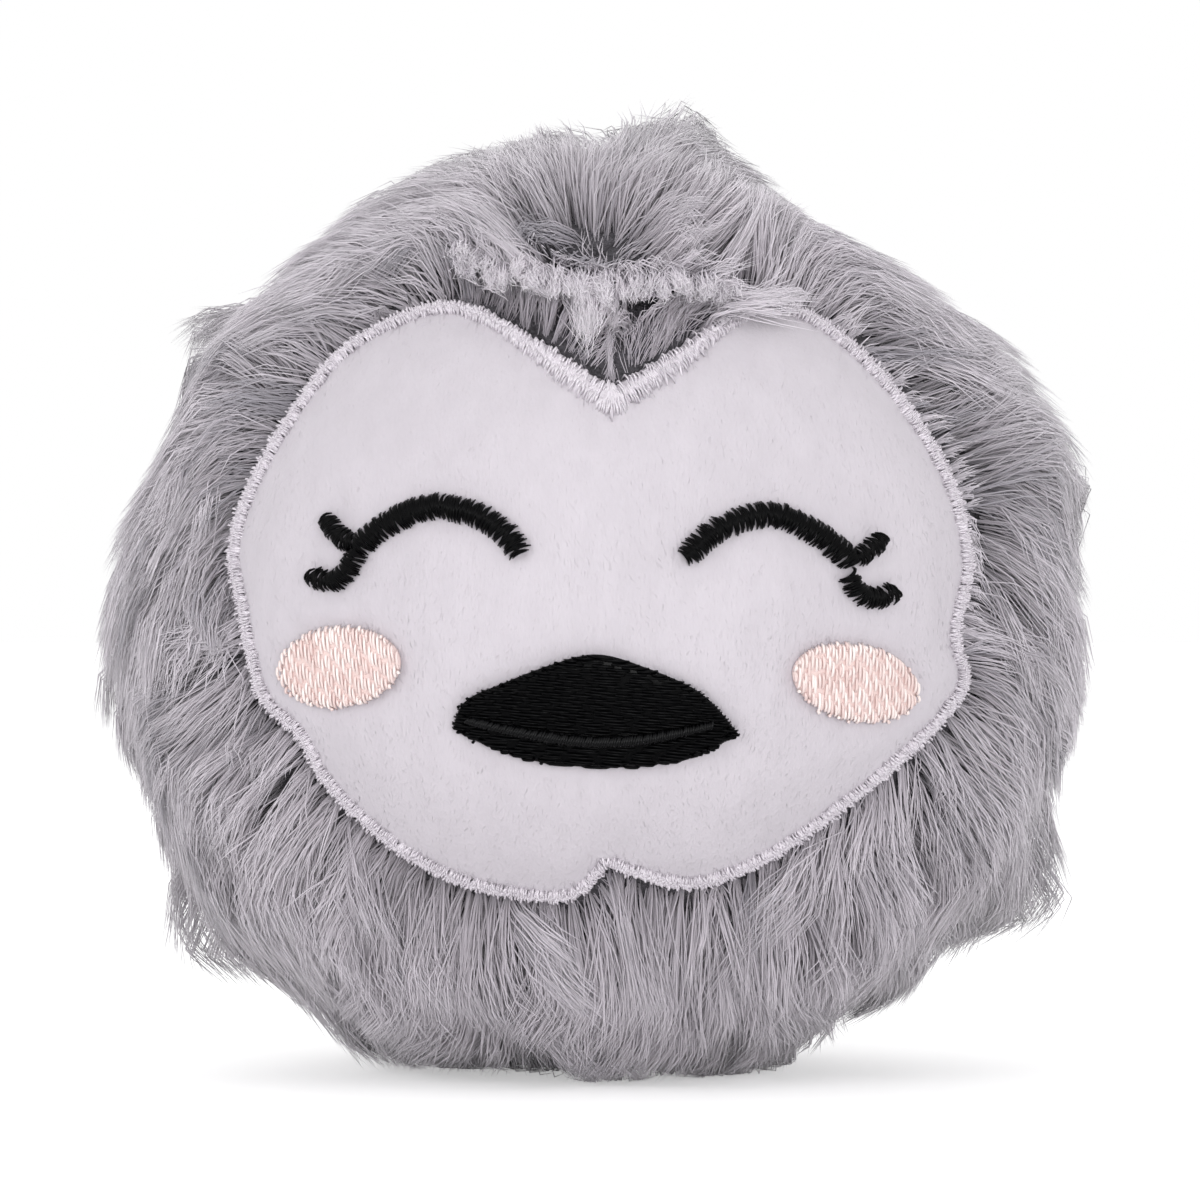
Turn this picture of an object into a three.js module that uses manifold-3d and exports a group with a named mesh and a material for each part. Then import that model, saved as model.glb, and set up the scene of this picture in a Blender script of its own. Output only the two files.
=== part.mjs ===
// Plush squeaky ball with a baby penguin face, in millimetres, +Z up.
// The face looks along -Y and the ball rests on a small flat at z = 0.
// Left and right are as seen from the front. The ball's middle is the origin of all the shapes
// below, and the whole toy is lifted onto its base at the end.

import * as THREE from 'three';
import { mergeVertices } from 'three/addons/utils/BufferGeometryUtils.js';
import Module from 'manifold-3d';

const wasm = await Module();
wasm.setup();

// Stuffed ball: semi-axes of the cloth skin, measured from its middle
const skinHalfWidth = 45.5;
const skinFrontDepth = 41;
const skinBackDepth = 45;
const skinRiseAbove = 43.5;
const skinDropBelow = 44.5;

// Long-pile cover
const clothThickness = 1.5;
const pileDepthAbove = 6.8;
const pileDepthBelow = 8.8;
const pileBesideFace = 3;
const pileRunOut = 11;
const poleTilt = 32;
const frontSeamAngle = 58;
const frontSeamBulge = 34;
const frontSeamBulgeLatitude = 48;
const frontSeamBulgeSpread = 34;
const backSeamAngle = 36;
const seamGap = 0.3;
const baseCut = 1.3;

// Gaps between pieces that touch
const layerGap = 0.3;
const fitGap = 0.3;
const stuffingGap = 0.5;

// Face cloth, its stiffener and the satin edge
const stiffenerThickness = 0.6;
const faceClothThickness = 1.5;
const faceClothRoll = 0.5;
const borderThickness = 1.9;
const borderWidth = 2.4;
const borderWidthAtPeak = 4.1;
const borderWidening = 9;

// Embroidery on the face
const satinThickness = 0.9;
const eyeStrokeWidth = 2.35;
const lashStrokeWidth = 2.05;
const beakThickness = 1;
const mouthStrokeWidth = 0.85;
const mouthThickness = 0.6;
const leftCheekHalfWidth = 6.2;
const leftCheekHalfHeight = 4;
const leftCheekTilt = 6;
const rightCheekHalfWidth = 6.5;
const rightCheekHalfHeight = 3.8;
const rightCheekTilt = -12;

// Squeaker bulb and its reed unit
const bulbRadius = 20;
const bulbWall = 1;
const bulbLift = 2;
const neckRadius = 6.5;
const neckLength = 8;
const sleeveWall = 1.3;
const sleeveLength = 10;
const flangeThickness = 1.2;
const reedWidth = 4.2;
const reedThickness = 0.25;
const reedTail = 2.2;
const reedFreeLength = 6.4;
const clampLength = 3.6;
const airGrooveWidth = 2.4;
const airGrooveDepth = 1.4;
const lipSlope = 6;
const cutMargin = 1;

// Facets
const goreRows = 26;
const frontGoreColumns = 20;
const sideGoreColumns = 12;
const faceSideSteps = 28;
const faceRings = 5;
const satinSteps = 22;
const lashSteps = 8;
const roundSteps = 24;

// Half the width of the face cloth, which is cut to suit the ball. The points below are given in
// parts of it, from the ball's middle, as [right, up]. What is sewn on the cloth lies higher than
// its edge, so it is drawn in a little more.
const faceShareOfSkin = 0.827;
const sewnShareOfFace = 0.97;
const faceHalfWidth = faceShareOfSkin * skinHalfWidth;

// Outline of the face cloth, from the peak at the top down each side to the notch below the beak
const facePeak = onFace([0.031, 0.567]);
const chinNotch = onFace([0.021, -0.703]);
const leftFaceEdge = allOnFace([
  [-0.105, 0.654], [-0.267, 0.749], [-0.41, 0.792], [-0.579, 0.741], [-0.733, 0.631],
  [-0.908, 0.374], [-0.992, 0.154], [-0.969, -0.013], [-0.913, -0.251], [-0.803, -0.367],
  [-0.723, -0.503], [-0.536, -0.669], [-0.338, -0.764], [-0.128, -0.797], [-0.041, -0.774],
]);
const rightFaceEdge = allOnFace([
  [0.213, 0.674], [0.374, 0.774], [0.523, 0.785], [0.674, 0.69], [0.815, 0.538], [0.946, 0.323],
  [0.997, 0.108], [0.962, -0.087], [0.982, -0.241], [0.805, -0.431], [0.536, -0.636],
  [0.374, -0.726], [0.236, -0.762], [0.118, -0.738],
]);
const faceMiddle = onFace([0, -0.026]);

// Middle lines of the eyes and lashes, and the beak's edge
const leftEyeLine = allSewn([
  [-0.213, 0.121], [-0.254, 0.179], [-0.331, 0.226], [-0.444, 0.249], [-0.556, 0.21],
  [-0.636, 0.154],
]);
const leftUpperLashLine = allSewn([
  [-0.677, 0.162], [-0.703, 0.174], [-0.736, 0.215],
]);
const leftLowerLashLine = allSewn([
  [-0.662, 0.108], [-0.685, 0.067], [-0.723, 0.049], [-0.774, 0.062],
]);
const rightEyeLine = allSewn([
  [0.228, 0.108], [0.274, 0.159], [0.341, 0.2], [0.459, 0.228], [0.577, 0.179], [0.664, 0.113],
]);
const rightUpperLashLine = allSewn([
  [0.703, 0.123], [0.726, 0.136], [0.759, 0.164],
]);
const rightLowerLashLine = allSewn([
  [0.669, 0.051], [0.697, 0.015], [0.741, 0.005], [0.792, 0.021],
]);
const beakLeftTip = sewn([-0.39, -0.338]);
const beakRightTip = sewn([0.367, -0.354]);
const beakRidge = allSewn([
  [-0.356, -0.267], [-0.251, -0.218], [-0.123, -0.169], [-0.01, -0.144], [0.108, -0.174],
  [0.267, -0.246],
]);
const beakUnderside = allSewn([
  [0.244, -0.415], [0.067, -0.441], [-0.136, -0.431], [-0.287, -0.39],
]);
const beakMiddle = sewn([-0.01, -0.308]);
const mouthLine = allSewn([
  [-0.346, -0.313], [-0.226, -0.341], [-0.062, -0.367], [0.079, -0.367], [0.19, -0.349],
  [0.29, -0.326],
]);
const leftCheekMiddle = sewn([-0.697, -0.179]);
const rightCheekMiddle = sewn([0.685, -0.221]);

// Clumps of the pile, as [clock angle seen from the front, angle behind the widest section, rise as a
// share of the pile's depth, spread]. The first rows are the lumps and hollows of the front outline,
// and the rest lie round the crown, chin and back.
const pileClumps = [
  [0, 6, -0.45, 6], [10, 4, 0.38, 9], [26, 4, 0.1, 8], [40, 8, -0.38, 9], [42, -8, -0.18, 10],
  [58, 8, -0.58, 12], [58, 28, -0.44, 12], [60, -8, -0.46, 12], [81, 4, 0.7, 8], [96, 3, 0.2, 6],
  [109, 6, 0.18, 6], [127, -6, -0.3, 8], [129, 6, -0.22, 6], [138, 8, -0.54, 5],
  [140, -6, -0.38, 7], [147, 2, 0.46, 5], [159, 8, -0.5, 7], [160, -8, -0.54, 8],
  [168, 14, -0.15, 7], [182, 4, 0.15, 8], [194, 2, 0.2, 7], [210, 4, 0.18, 6], [222, 4, 0.57, 7],
  [243, 2, 0.3, 9], [289, 2, 0.3, 9], [308, 4, 0.22, 7], [326, 4, 0.9, 7], [344, 6, -0.38, 7],
  [357, 2, 0.14, 6],
  [90, -34, -0.5, 9], [90, -49, 0.2, 8], [66, -36, 0.18, 9], [114, -36, 0.16, 9],
  [215, -30, 0.13, 9], [238, -28, 0.15, 9], [304, -30, 0.15, 9], [326, -30, 0.13, 9],
  [270, -20, 0.13, 9], [270, 22, 0.13, 9],
];
const backClumpRings = [
  { back: 32, count: 9, start: 12, rise: 0.22, spread: 11 },
  { back: 58, count: 6, start: 38, rise: 0.2, spread: 12 },
  { back: 86, count: 1, start: 0, rise: 0.2, spread: 13 },
];

const degrees = THREE.MathUtils.degToRad;
const xAxis = new THREE.Vector3(1, 0, 0);

// Heights above the skin at which the layers of the face lie
const stiffenerFoot = layerGap;
const stiffenerTop = stiffenerFoot + stiffenerThickness;
const faceClothFoot = stiffenerTop + layerGap;
const faceClothTop = faceClothFoot + faceClothThickness;
const satinFoot = faceClothTop + layerGap;
const mouthFoot = satinFoot + beakThickness + layerGap;

// Cloth and thread, by colour
const materials = {
  fur: new THREE.MeshStandardMaterial({ color: 0xaca8ae, roughness: 0.95, metalness: 0 }),
  stiffener: new THREE.MeshStandardMaterial({ color: 0xf2f0ec, roughness: 0.9, metalness: 0 }),
  faceCloth: new THREE.MeshStandardMaterial({ color: 0xded8e0, roughness: 0.9, metalness: 0 }),
  whiteThread: new THREE.MeshStandardMaterial({ color: 0xebe6ee, roughness: 0.4, metalness: 0 }),
  blackThread: new THREE.MeshStandardMaterial({ color: 0x0c0c0e, roughness: 0.45, metalness: 0 }),
  pinkThread: new THREE.MeshStandardMaterial({ color: 0xf0d7d4, roughness: 0.4, metalness: 0 }),
  stuffing: new THREE.MeshStandardMaterial({ color: 0xf7f7f5, roughness: 1, metalness: 0 }),
  bulbPlastic: new THREE.MeshStandardMaterial({ color: 0xe9ecef, roughness: 0.35, metalness: 0 }),
  reedPlastic: new THREE.MeshStandardMaterial({ color: 0xd8dde2, roughness: 0.4, metalness: 0 }),
  reedFilm: new THREE.MeshStandardMaterial({ color: 0xc9d6de, roughness: 0.2, metalness: 0 }),
};

// A closed geometry as a solid for joining and cutting.
function solidOf(geometry) {
  const bare = geometry.clone();
  bare.deleteAttribute('normal');
  bare.deleteAttribute('uv');
  const merged = mergeVertices(bare, 1e-4);
  return new wasm.Manifold(new wasm.Mesh({
    numProp: 3,
    vertProperties: merged.attributes.position.array,
    triVerts: new Uint32Array(merged.index.array),
  }));
}

// The solid's vertices and triangles as a geometry.
function geometryOf(solid) {
  const mesh = solid.getMesh();
  const geometry = new THREE.BufferGeometry();
  geometry.setAttribute('position', new THREE.BufferAttribute(mesh.vertProperties, 3));
  geometry.setIndex(new THREE.BufferAttribute(mesh.triVerts, 1));
  geometry.computeVertexNormals();
  return geometry;
}

function cut(geometry, ...cutters) {
  const left = cutters.reduce((rest, cutter) => rest.subtract(solidOf(cutter)), solidOf(geometry));
  return geometryOf(left);
}

function indexedGeometry(points, triangles) {
  const geometry = new THREE.BufferGeometry();
  geometry.setFromPoints(points);
  geometry.setIndex(triangles);
  geometry.computeVertexNormals();
  return geometry;
}

// Millimetres from the ball's middle, for a point given in parts of the face's half width.
function onFace([right, up]) {
  return [right * faceHalfWidth, up * faceHalfWidth];
}

function allOnFace(points) {
  return points.map(onFace);
}

// The same for what is sewn on the cloth.
function sewn([right, up]) {
  return onFace([right * sewnShareOfFace, up * sewnShareOfFace]);
}

function allSewn(points) {
  return points.map(sewn);
}

function flatCurve(points) {
  return new THREE.SplineCurve(points.map(([x, z]) => new THREE.Vector2(x, z)));
}

// The skin's radius from the middle of the ball along a unit vector.
function skinRadius(direction) {
  const depth = direction.y < 0 ? skinFrontDepth : skinBackDepth;
  const height = direction.z > 0 ? skinRiseAbove : skinDropBelow;
  return 1 / Math.hypot(direction.x / skinHalfWidth, direction.y / depth, direction.z / height);
}

// The point of the face at x, z as seen from the front, raised off the skin along its normal.
function facePoint(x, z, height) {
  const rise = z > 0 ? skinRiseAbove : skinDropBelow;
  const y = -skinFrontDepth * Math.sqrt(1 - (x / skinHalfWidth) ** 2 - (z / rise) ** 2);
  const normal = new THREE.Vector3(x / skinHalfWidth ** 2, y / skinFrontDepth ** 2, z / rise ** 2);
  return new THREE.Vector3(x, y, z).addScaledVector(normal.normalize(), height);
}

// The face cloth's outline as a loop of points, anticlockwise from the peak.
function faceOutline() {
  const left = flatCurve([facePeak, ...leftFaceEdge, chinNotch]).getSpacedPoints(faceSideSteps);
  const right = flatCurve([facePeak, ...rightFaceEdge, chinNotch]).getSpacedPoints(faceSideSteps);
  return [...left.slice(0, -1), ...right.reverse().slice(0, -1)];
}

// The direction into the loop at each corner, as long as a mitred offset of 1 needs.
function mitres(loop) {
  return loop.map((point, i) => {
    const before = point.clone().sub(loop.at(i - 1)).normalize();
    const after = loop[(i + 1) % loop.length].clone().sub(point).normalize();
    const inward = new THREE.Vector2(-before.y - after.y, before.x + after.x).normalize();
    return inward.divideScalar(inward.dot(new THREE.Vector2(-before.y, before.x)));
  });
}

function inset(loop, distanceAt) {
  const inward = mitres(loop);
  return loop.map((point, i) => point.clone().addScaledVector(inward[i], distanceAt(point)));
}

// The satin edge is widest at the face's peak.
function borderWidthNear(point) {
  const away = point.distanceTo(new THREE.Vector2(...facePeak)) / borderWidening;
  return borderWidth + (borderWidthAtPeak - borderWidth) * Math.exp(-away * away);
}

// A layer on the face inside a loop: a grid of rings round a middle point, closed by a wall.
// Heights are measured off the skin, and the upper side rolls down to the edge.
function faceLayer(loop, middle, rings, foot, top, edgeTop) {
  const centre = new THREE.Vector2(...middle);
  const sides = [
    { height: () => top, edge: edgeTop, facing: 1 },
    { height: () => foot, edge: foot, facing: -1 },
  ];
  const points = [];
  const triangles = [];
  const count = loop.length;
  for (const { height, edge, facing } of sides) {
    const hub = points.length;
    points.push(facePoint(centre.x, centre.y, height()));
    for (let ring = 1; ring <= rings; ring += 1) {
      for (const corner of loop) {
        const spot = centre.clone().lerp(corner, ring / rings);
        points.push(facePoint(spot.x, spot.y, ring === rings ? edge : height()));
      }
    }
    for (let i = 0; i < count; i += 1) {
      const j = (i + 1) % count;
      triangles.push(hub, ...turned(hub + 1 + i, hub + 1 + j, facing));
      for (let ring = 0; ring < rings - 1; ring += 1) {
        const inner = hub + 1 + ring * count;
        const outer = inner + count;
        triangles.push(inner + i, ...turned(outer + i, outer + j, facing));
        triangles.push(inner + i, ...turned(outer + j, inner + j, facing));
      }
    }
  }
  const upperRim = 1 + (rings - 1) * count;
  const lowerRim = upperRim + 1 + rings * count;
  for (let i = 0; i < count; i += 1) {
    const j = (i + 1) % count;
    triangles.push(upperRim + i, lowerRim + i, lowerRim + j);
    triangles.push(upperRim + i, lowerRim + j, upperRim + j);
  }
  return indexedGeometry(points, triangles);
}

function turned(second, third, facing) {
  return facing > 0 ? [second, third] : [third, second];
}

// A band of satin stitch with a flat foot and a crowned top. Each station has a middle point,
// a vector across to its left edge, and is swept to the next one.
function satinBand(stations, foot, thickness, closed) {
  const crown = 5;
  const points = [];
  const triangles = [];
  for (const { middle, across } of stations) {
    for (let k = 0; k <= crown; k += 1) {
      const angle = Math.PI * (k / crown);
      const spot = middle.clone().addScaledVector(across, Math.cos(angle));
      points.push(facePoint(spot.x, spot.y, foot + thickness * Math.sin(angle)));
    }
  }
  const size = crown + 1;
  const spans = closed ? stations.length : stations.length - 1;
  for (let i = 0; i < spans; i += 1) {
    const here = i * size;
    const next = ((i + 1) % stations.length) * size;
    for (let k = 0; k < size; k += 1) {
      const m = (k + 1) % size;
      triangles.push(here + k, here + m, next + m);
      triangles.push(here + k, next + m, next + k);
    }
  }
  if (!closed) {
    const last = (stations.length - 1) * size;
    for (let k = 1; k < size - 1; k += 1) {
      triangles.push(0, k + 1, k);
      triangles.push(last, last + k, last + k + 1);
    }
  }
  return indexedGeometry(points, triangles);
}

// Stations of a stroke of constant width along a curve, for satinBand.
function strokeStations(points, steps, width) {
  const curve = flatCurve(points);
  return curve.getSpacedPoints(steps).map((middle, i) => {
    const along = curve.getTangentAt(i / steps);
    return { middle, across: new THREE.Vector2(-along.y, along.x).multiplyScalar(width / 2) };
  });
}

function ovalLoop(middle, halfWidth, halfHeight, tilt, steps) {
  const oval = new THREE.EllipseCurve(...middle, halfWidth, halfHeight, 0, 2 * Math.PI, false, degrees(tilt));
  return oval.getPoints(steps).slice(0, -1);
}

// Unit vector at an angle round the seam axis, 0 at the front, and a latitude up that axis.
function seamDirection(around, latitude) {
  const level = Math.cos(latitude);
  const upright = new THREE.Vector3(Math.sin(around) * level, -Math.cos(around) * level, Math.sin(latitude));
  return upright.applyAxisAngle(xAxis, degrees(poleTilt));
}

// Unit vector by clock angle seen from the front and angle behind the ball's widest section.
function clockDirection(clock, back) {
  const level = Math.cos(degrees(back));
  return new THREE.Vector3(
    Math.cos(degrees(clock)) * level,
    Math.sin(degrees(back)),
    Math.sin(degrees(clock)) * level,
  );
}

function allClumps() {
  const clumps = pileClumps.map(([clock, back, rise, spread]) => ({
    direction: clockDirection(clock, back), rise, spread: degrees(spread),
  }));
  for (const { back, count, start, rise, spread } of backClumpRings) {
    for (let i = 0; i < count; i += 1) {
      const direction = clockDirection(start + (360 * i) / count, back);
      clumps.push({ direction, rise, spread: degrees(spread) });
    }
  }
  return clumps;
}

// True inside a loop of points.
function isInside(loop, x, z) {
  let inside = false;
  loop.forEach((a, i) => {
    const b = loop[(i + 1) % loop.length];
    if (a.y > z !== b.y > z && x < a.x + ((b.x - a.x) * (z - a.y)) / (b.y - a.y)) {
      inside = !inside;
    }
  });
  return inside;
}

// The radius of the pile's outer surface along a unit vector. The pile is short beside the face
// and runs out to its full depth away from it.
function makePileRadius(outline) {
  const clumps = allClumps();
  const edge = outline.map((point) => facePoint(point.x, point.y, 0));
  return (direction) => {
    const skin = skinRadius(direction);
    const spot = direction.clone().multiplyScalar(skin);
    const overFace = direction.y < 0 && isInside(outline, spot.x, spot.z);
    const away = overFace ? 0 : Math.min(...edge.map((point) => point.distanceTo(spot)));
    const fullness = THREE.MathUtils.smoothstep(away, 0, pileRunOut);
    const level = (1 + direction.z) / 2;
    let share = 1;
    for (const { direction: top, rise, spread } of clumps) {
      const off = direction.angleTo(top) / spread;
      share += rise * Math.exp(-off * off);
    }
    const depth = share * THREE.MathUtils.lerp(pileDepthBelow, pileDepthAbove, level);
    return skin + THREE.MathUtils.lerp(pileBesideFace, depth, fullness);
  };
}

// One gore of the cover, from the lower pole to the upper one, between two seams whose angles round
// the seam axis follow the latitude. It is a shell from the cloth's inner side to the pile's outer
// surface, half a seam gap short of each seam.
function gore(startAt, endAt, columns, outerRadius, innerRadius) {
  const points = [];
  const triangles = [];
  const polePoint = (latitude, radiusAt) => {
    const start = startAt(latitude);
    const end = endAt(latitude);
    const pole = seamDirection(0, latitude);
    const inward = seamDirection((start + end) / 2, 0);
    const tipInset = seamGap / 2 / Math.sin((end - start) / 2);
    return pole.clone().multiplyScalar(radiusAt(pole)).addScaledVector(inward, tipInset);
  };
  for (const radiusAt of [outerRadius, innerRadius]) {
    points.push(polePoint(-Math.PI / 2, radiusAt));
    for (let row = 1; row < goreRows; row += 1) {
      const latitude = Math.PI * (row / goreRows - 0.5);
      const start = startAt(latitude);
      const end = endAt(latitude);
      for (let column = 0; column <= columns; column += 1) {
        const plain = start + ((end - start) * column) / columns;
        const girth = radiusAt(seamDirection(plain, latitude)) * Math.cos(latitude);
        const side = 1 - (2 * column) / columns;
        const around = plain + side * Math.asin(seamGap / 2 / girth);
        const direction = seamDirection(around, latitude);
        points.push(direction.clone().multiplyScalar(radiusAt(direction)));
      }
    }
    points.push(polePoint(Math.PI / 2, radiusAt));
  }
  const layerSize = points.length / 2;
  const at = (row, column) => {
    if (row === 0) return 0;
    if (row === goreRows) return layerSize - 1;
    return 1 + (row - 1) * (columns + 1) + column;
  };
  const addTriangle = (a, b, c) => {
    if (a !== b && b !== c && c !== a) triangles.push(a, b, c);
  };
  for (let row = 0; row < goreRows; row += 1) {
    for (let column = 0; column < columns; column += 1) {
      const corners = [at(row, column), at(row, column + 1), at(row + 1, column + 1), at(row + 1, column)];
      const [a, b, c, d] = corners;
      addTriangle(a, b, c);
      addTriangle(a, c, d);
      const [e, f, g, h] = corners.map((corner) => corner + layerSize);
      addTriangle(e, g, f);
      addTriangle(e, h, g);
    }
    for (const column of [0, columns]) {
      const low = at(row, column);
      const high = at(row + 1, column);
      const facing = column === 0 ? 1 : -1;
      addTriangle(low, ...turned(high, high + layerSize, facing));
      addTriangle(low, ...turned(high + layerSize, low + layerSize, facing));
    }
  }
  return indexedGeometry(points, triangles);
}

// A smooth closed ball at a distance inside the skin.
function ballInside(depth) {
  const ball = new THREE.SphereGeometry(1, roundSteps, roundSteps / 2 + 2);
  const position = ball.getAttribute('position');
  const spot = new THREE.Vector3();
  for (let i = 0; i < position.count; i += 1) {
    spot.fromBufferAttribute(position, i).normalize();
    spot.multiplyScalar(skinRadius(spot) - depth);
    position.setXYZ(i, spot.x, spot.y, spot.z);
  }
  return ball;
}

// A turned piece about the Z axis from a profile of [radius, z] points, given anticlockwise.
function turnedPiece(profile, steps = roundSteps) {
  const points = profile.map(([radius, z]) => new THREE.Vector2(radius, z));
  return new THREE.LatheGeometry(points, steps).rotateX(Math.PI / 2);
}

// Points of an arc in a turned profile, between two angles above the level.
function profileArc(radius, middleZ, from, to, steps) {
  return Array.from({ length: steps + 1 }, (_, i) => {
    const angle = from + ((to - from) * i) / steps;
    return [Math.max(0, radius * Math.cos(angle)), middleZ + radius * Math.sin(angle)];
  });
}

// Levels of the squeaker, from the ball's middle
const neckInside = neckRadius - bulbWall;
const neckTop = bulbLift - Math.sqrt(bulbRadius ** 2 - neckRadius ** 2);
const neckMouth = neckTop - neckLength;
const flangeTop = neckMouth - fitGap;
const flangeFoot = flangeTop - flangeThickness;
const sleeveRadius = neckInside - fitGap;
const sleeveBore = sleeveRadius - sleeveWall;
const insertRadius = sleeveBore - fitGap;
const insertFlat = reedThickness / 2 + fitGap;
const clampTop = flangeFoot + clampLength;
const reedTip = clampTop + reedFreeLength;

function squeakerBulb() {
  const outsideStart = -Math.acos(neckRadius / bulbRadius);
  const insideRadius = bulbRadius - bulbWall;
  const insideStart = -Math.acos(neckInside / insideRadius);
  return turnedPiece([
    ...profileArc(insideRadius, bulbLift, Math.PI / 2, insideStart, roundSteps / 2),
    [neckInside, neckMouth],
    [neckRadius, neckMouth],
    ...profileArc(bulbRadius, bulbLift, outsideStart, Math.PI / 2, roundSteps / 2),
  ]);
}

function reedSleeve() {
  const sleeveTop = flangeTop + sleeveLength;
  return turnedPiece([
    [sleeveBore, flangeFoot],
    [neckRadius, flangeFoot],
    [neckRadius, flangeTop],
    [sleeveRadius, flangeTop],
    [sleeveRadius, sleeveTop],
    [sleeveBore, sleeveTop],
    [sleeveBore, flangeFoot],
  ]);
}

// Half-round section of a reed insert behind its flat, with or without the air groove.
function insertSection(grooved) {
  const reach = Math.sqrt(insertRadius ** 2 - insertFlat ** 2);
  const corner = Math.atan2(insertFlat, reach);
  const half = airGrooveWidth / 2;
  const section = new THREE.Shape();
  section.moveTo(-reach, insertFlat);
  if (grooved) {
    section.lineTo(-half, insertFlat);
    section.lineTo(-half, insertFlat + airGrooveDepth);
    section.lineTo(half, insertFlat + airGrooveDepth);
    section.lineTo(half, insertFlat);
  }
  section.lineTo(reach, insertFlat);
  section.absarc(0, 0, insertRadius, corner, Math.PI - corner, false);
  return section;
}

function extruded(section, length) {
  return new THREE.ExtrudeGeometry(section, { depth: length, bevelEnabled: false, curveSegments: 12 });
}

// The seat's flat slopes away from the reed past the clamp, so the reed has room to swing.
function reedSeat() {
  const length = reedTip - flangeFoot;
  const seat = extruded(insertSection(true), length).translate(0, 0, flangeFoot);
  const fall = reedFreeLength * Math.tan(degrees(lipSlope));
  const slope = new THREE.Shape();
  slope.moveTo(insertFlat - cutMargin, clampTop);
  slope.lineTo(insertFlat, clampTop);
  slope.lineTo(insertFlat + fall, reedTip);
  slope.lineTo(insertFlat + fall, reedTip + cutMargin);
  slope.lineTo(insertFlat - cutMargin, reedTip + cutMargin);
  slope.closePath();
  const wedge = extruded(slope, 2 * (insertRadius + cutMargin));
  // The wedge is drawn in y and z, and turned so that it runs along x.
  wedge.applyMatrix4(new THREE.Matrix4().set(
    0, 0, 1, -insertRadius - cutMargin,
    1, 0, 0, 0,
    0, 1, 0, 0,
    0, 0, 0, 1,
  ));
  return cut(seat, wedge);
}

function reedClamp() {
  const clamp = extruded(insertSection(false), clampLength);
  return clamp.rotateZ(Math.PI).translate(0, 0, flangeFoot);
}

// A film strip with a round free end.
function reedStrip() {
  const half = reedWidth / 2;
  const roundStart = reedTip - half / 2;
  const strip = new THREE.Shape();
  strip.moveTo(-half, clampTop - reedTail);
  strip.lineTo(half, clampTop - reedTail);
  strip.lineTo(half, roundStart);
  strip.absellipse(0, roundStart, half, half / 2, 0, Math.PI, false);
  strip.closePath();
  return extruded(strip, reedThickness).rotateX(Math.PI / 2).translate(0, reedThickness / 2, 0);
}

// The room that the squeaker takes in the stuffing.
function squeakerRoom() {
  const start = -Math.acos((neckRadius + fitGap) / (bulbRadius + fitGap));
  return turnedPiece([
    [0, flangeFoot - fitGap],
    [neckRadius + fitGap, flangeFoot - fitGap],
    ...profileArc(bulbRadius + fitGap, bulbLift, start, Math.PI / 2, roundSteps / 2),
  ]);
}

// One half of the stuffing: the ball inside the cover, cut at the middle plane and round the squeaker.
function stuffingWad(frontSide) {
  const whole = solidOf(ballInside(clothThickness + stuffingGap)).subtract(solidOf(squeakerRoom()));
  const facing = frontSide ? -1 : 1;
  return geometryOf(whole.trimByPlane([0, facing, 0], layerGap / 2));
}

const toy = new THREE.Group();

function add(name, geometry, material) {
  const mesh = new THREE.Mesh(geometry, material);
  mesh.name = name;
  toy.add(mesh);
  return mesh;
}

// Cover
const outline = faceOutline();
const pileRadius = makePileRadius(outline);
const innerRadius = (direction) => skinRadius(direction) - clothThickness;
const restLevel = baseCut - skinDropBelow - pileDepthBelow;

function coverPanel(startAt, endAt, columns) {
  const panel = gore(startAt, endAt, columns, pileRadius, innerRadius);
  return solidOf(panel).trimByPlane([0, 0, 1], restLevel);
}

// The front seams run from pole to pole and swing out round the face's upper lobes.
function frontSeam(latitude) {
  const off = (latitude - degrees(frontSeamBulgeLatitude)) / degrees(frontSeamBulgeSpread);
  return degrees(frontSeamAngle + frontSeamBulge * Math.exp(-off * off));
}

// The front panel is shaved down to its cloth under the face.
function frontPanel() {
  const pocketLoop = inset(outline, () => -fitGap);
  const pocket = faceLayer(pocketLoop, faceMiddle, faceRings, 0, skinFrontDepth, skinFrontDepth);
  const panel = coverPanel((latitude) => -frontSeam(latitude), frontSeam, frontGoreColumns);
  return panel.subtract(solidOf(pocket));
}

const backSeam = degrees(backSeamAngle);
const rightPanel = coverPanel(frontSeam, () => Math.PI - backSeam, sideGoreColumns);
const backPanel = coverPanel(() => Math.PI - backSeam, () => Math.PI + backSeam, sideGoreColumns);
const leftPanel = coverPanel(
  () => Math.PI + backSeam,
  (latitude) => 2 * Math.PI - frontSeam(latitude),
  sideGoreColumns,
);
add('front_fur_panel', geometryOf(frontPanel()), materials.fur);
add('left_fur_panel', geometryOf(leftPanel), materials.fur);
add('right_fur_panel', geometryOf(rightPanel), materials.fur);
add('back_fur_panel', geometryOf(backPanel), materials.fur);

// Face
const clothLoop = inset(outline, (point) => borderWidthNear(point) + fitGap);
const borderStations = mitres(outline).map((inward, i) => {
  const half = borderWidthNear(outline[i]) / 2;
  return {
    middle: outline[i].clone().addScaledVector(inward, half),
    across: inward.clone().multiplyScalar(half),
  };
});
add(
  'face_backing',
  faceLayer(outline, faceMiddle, faceRings, stiffenerFoot, stiffenerTop, stiffenerTop),
  materials.stiffener,
);
add(
  'face_applique',
  faceLayer(clothLoop, faceMiddle, faceRings, faceClothFoot, faceClothTop, faceClothTop - faceClothRoll),
  materials.faceCloth,
);
add('face_border', satinBand(borderStations, faceClothFoot, borderThickness, true), materials.whiteThread);

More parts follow.
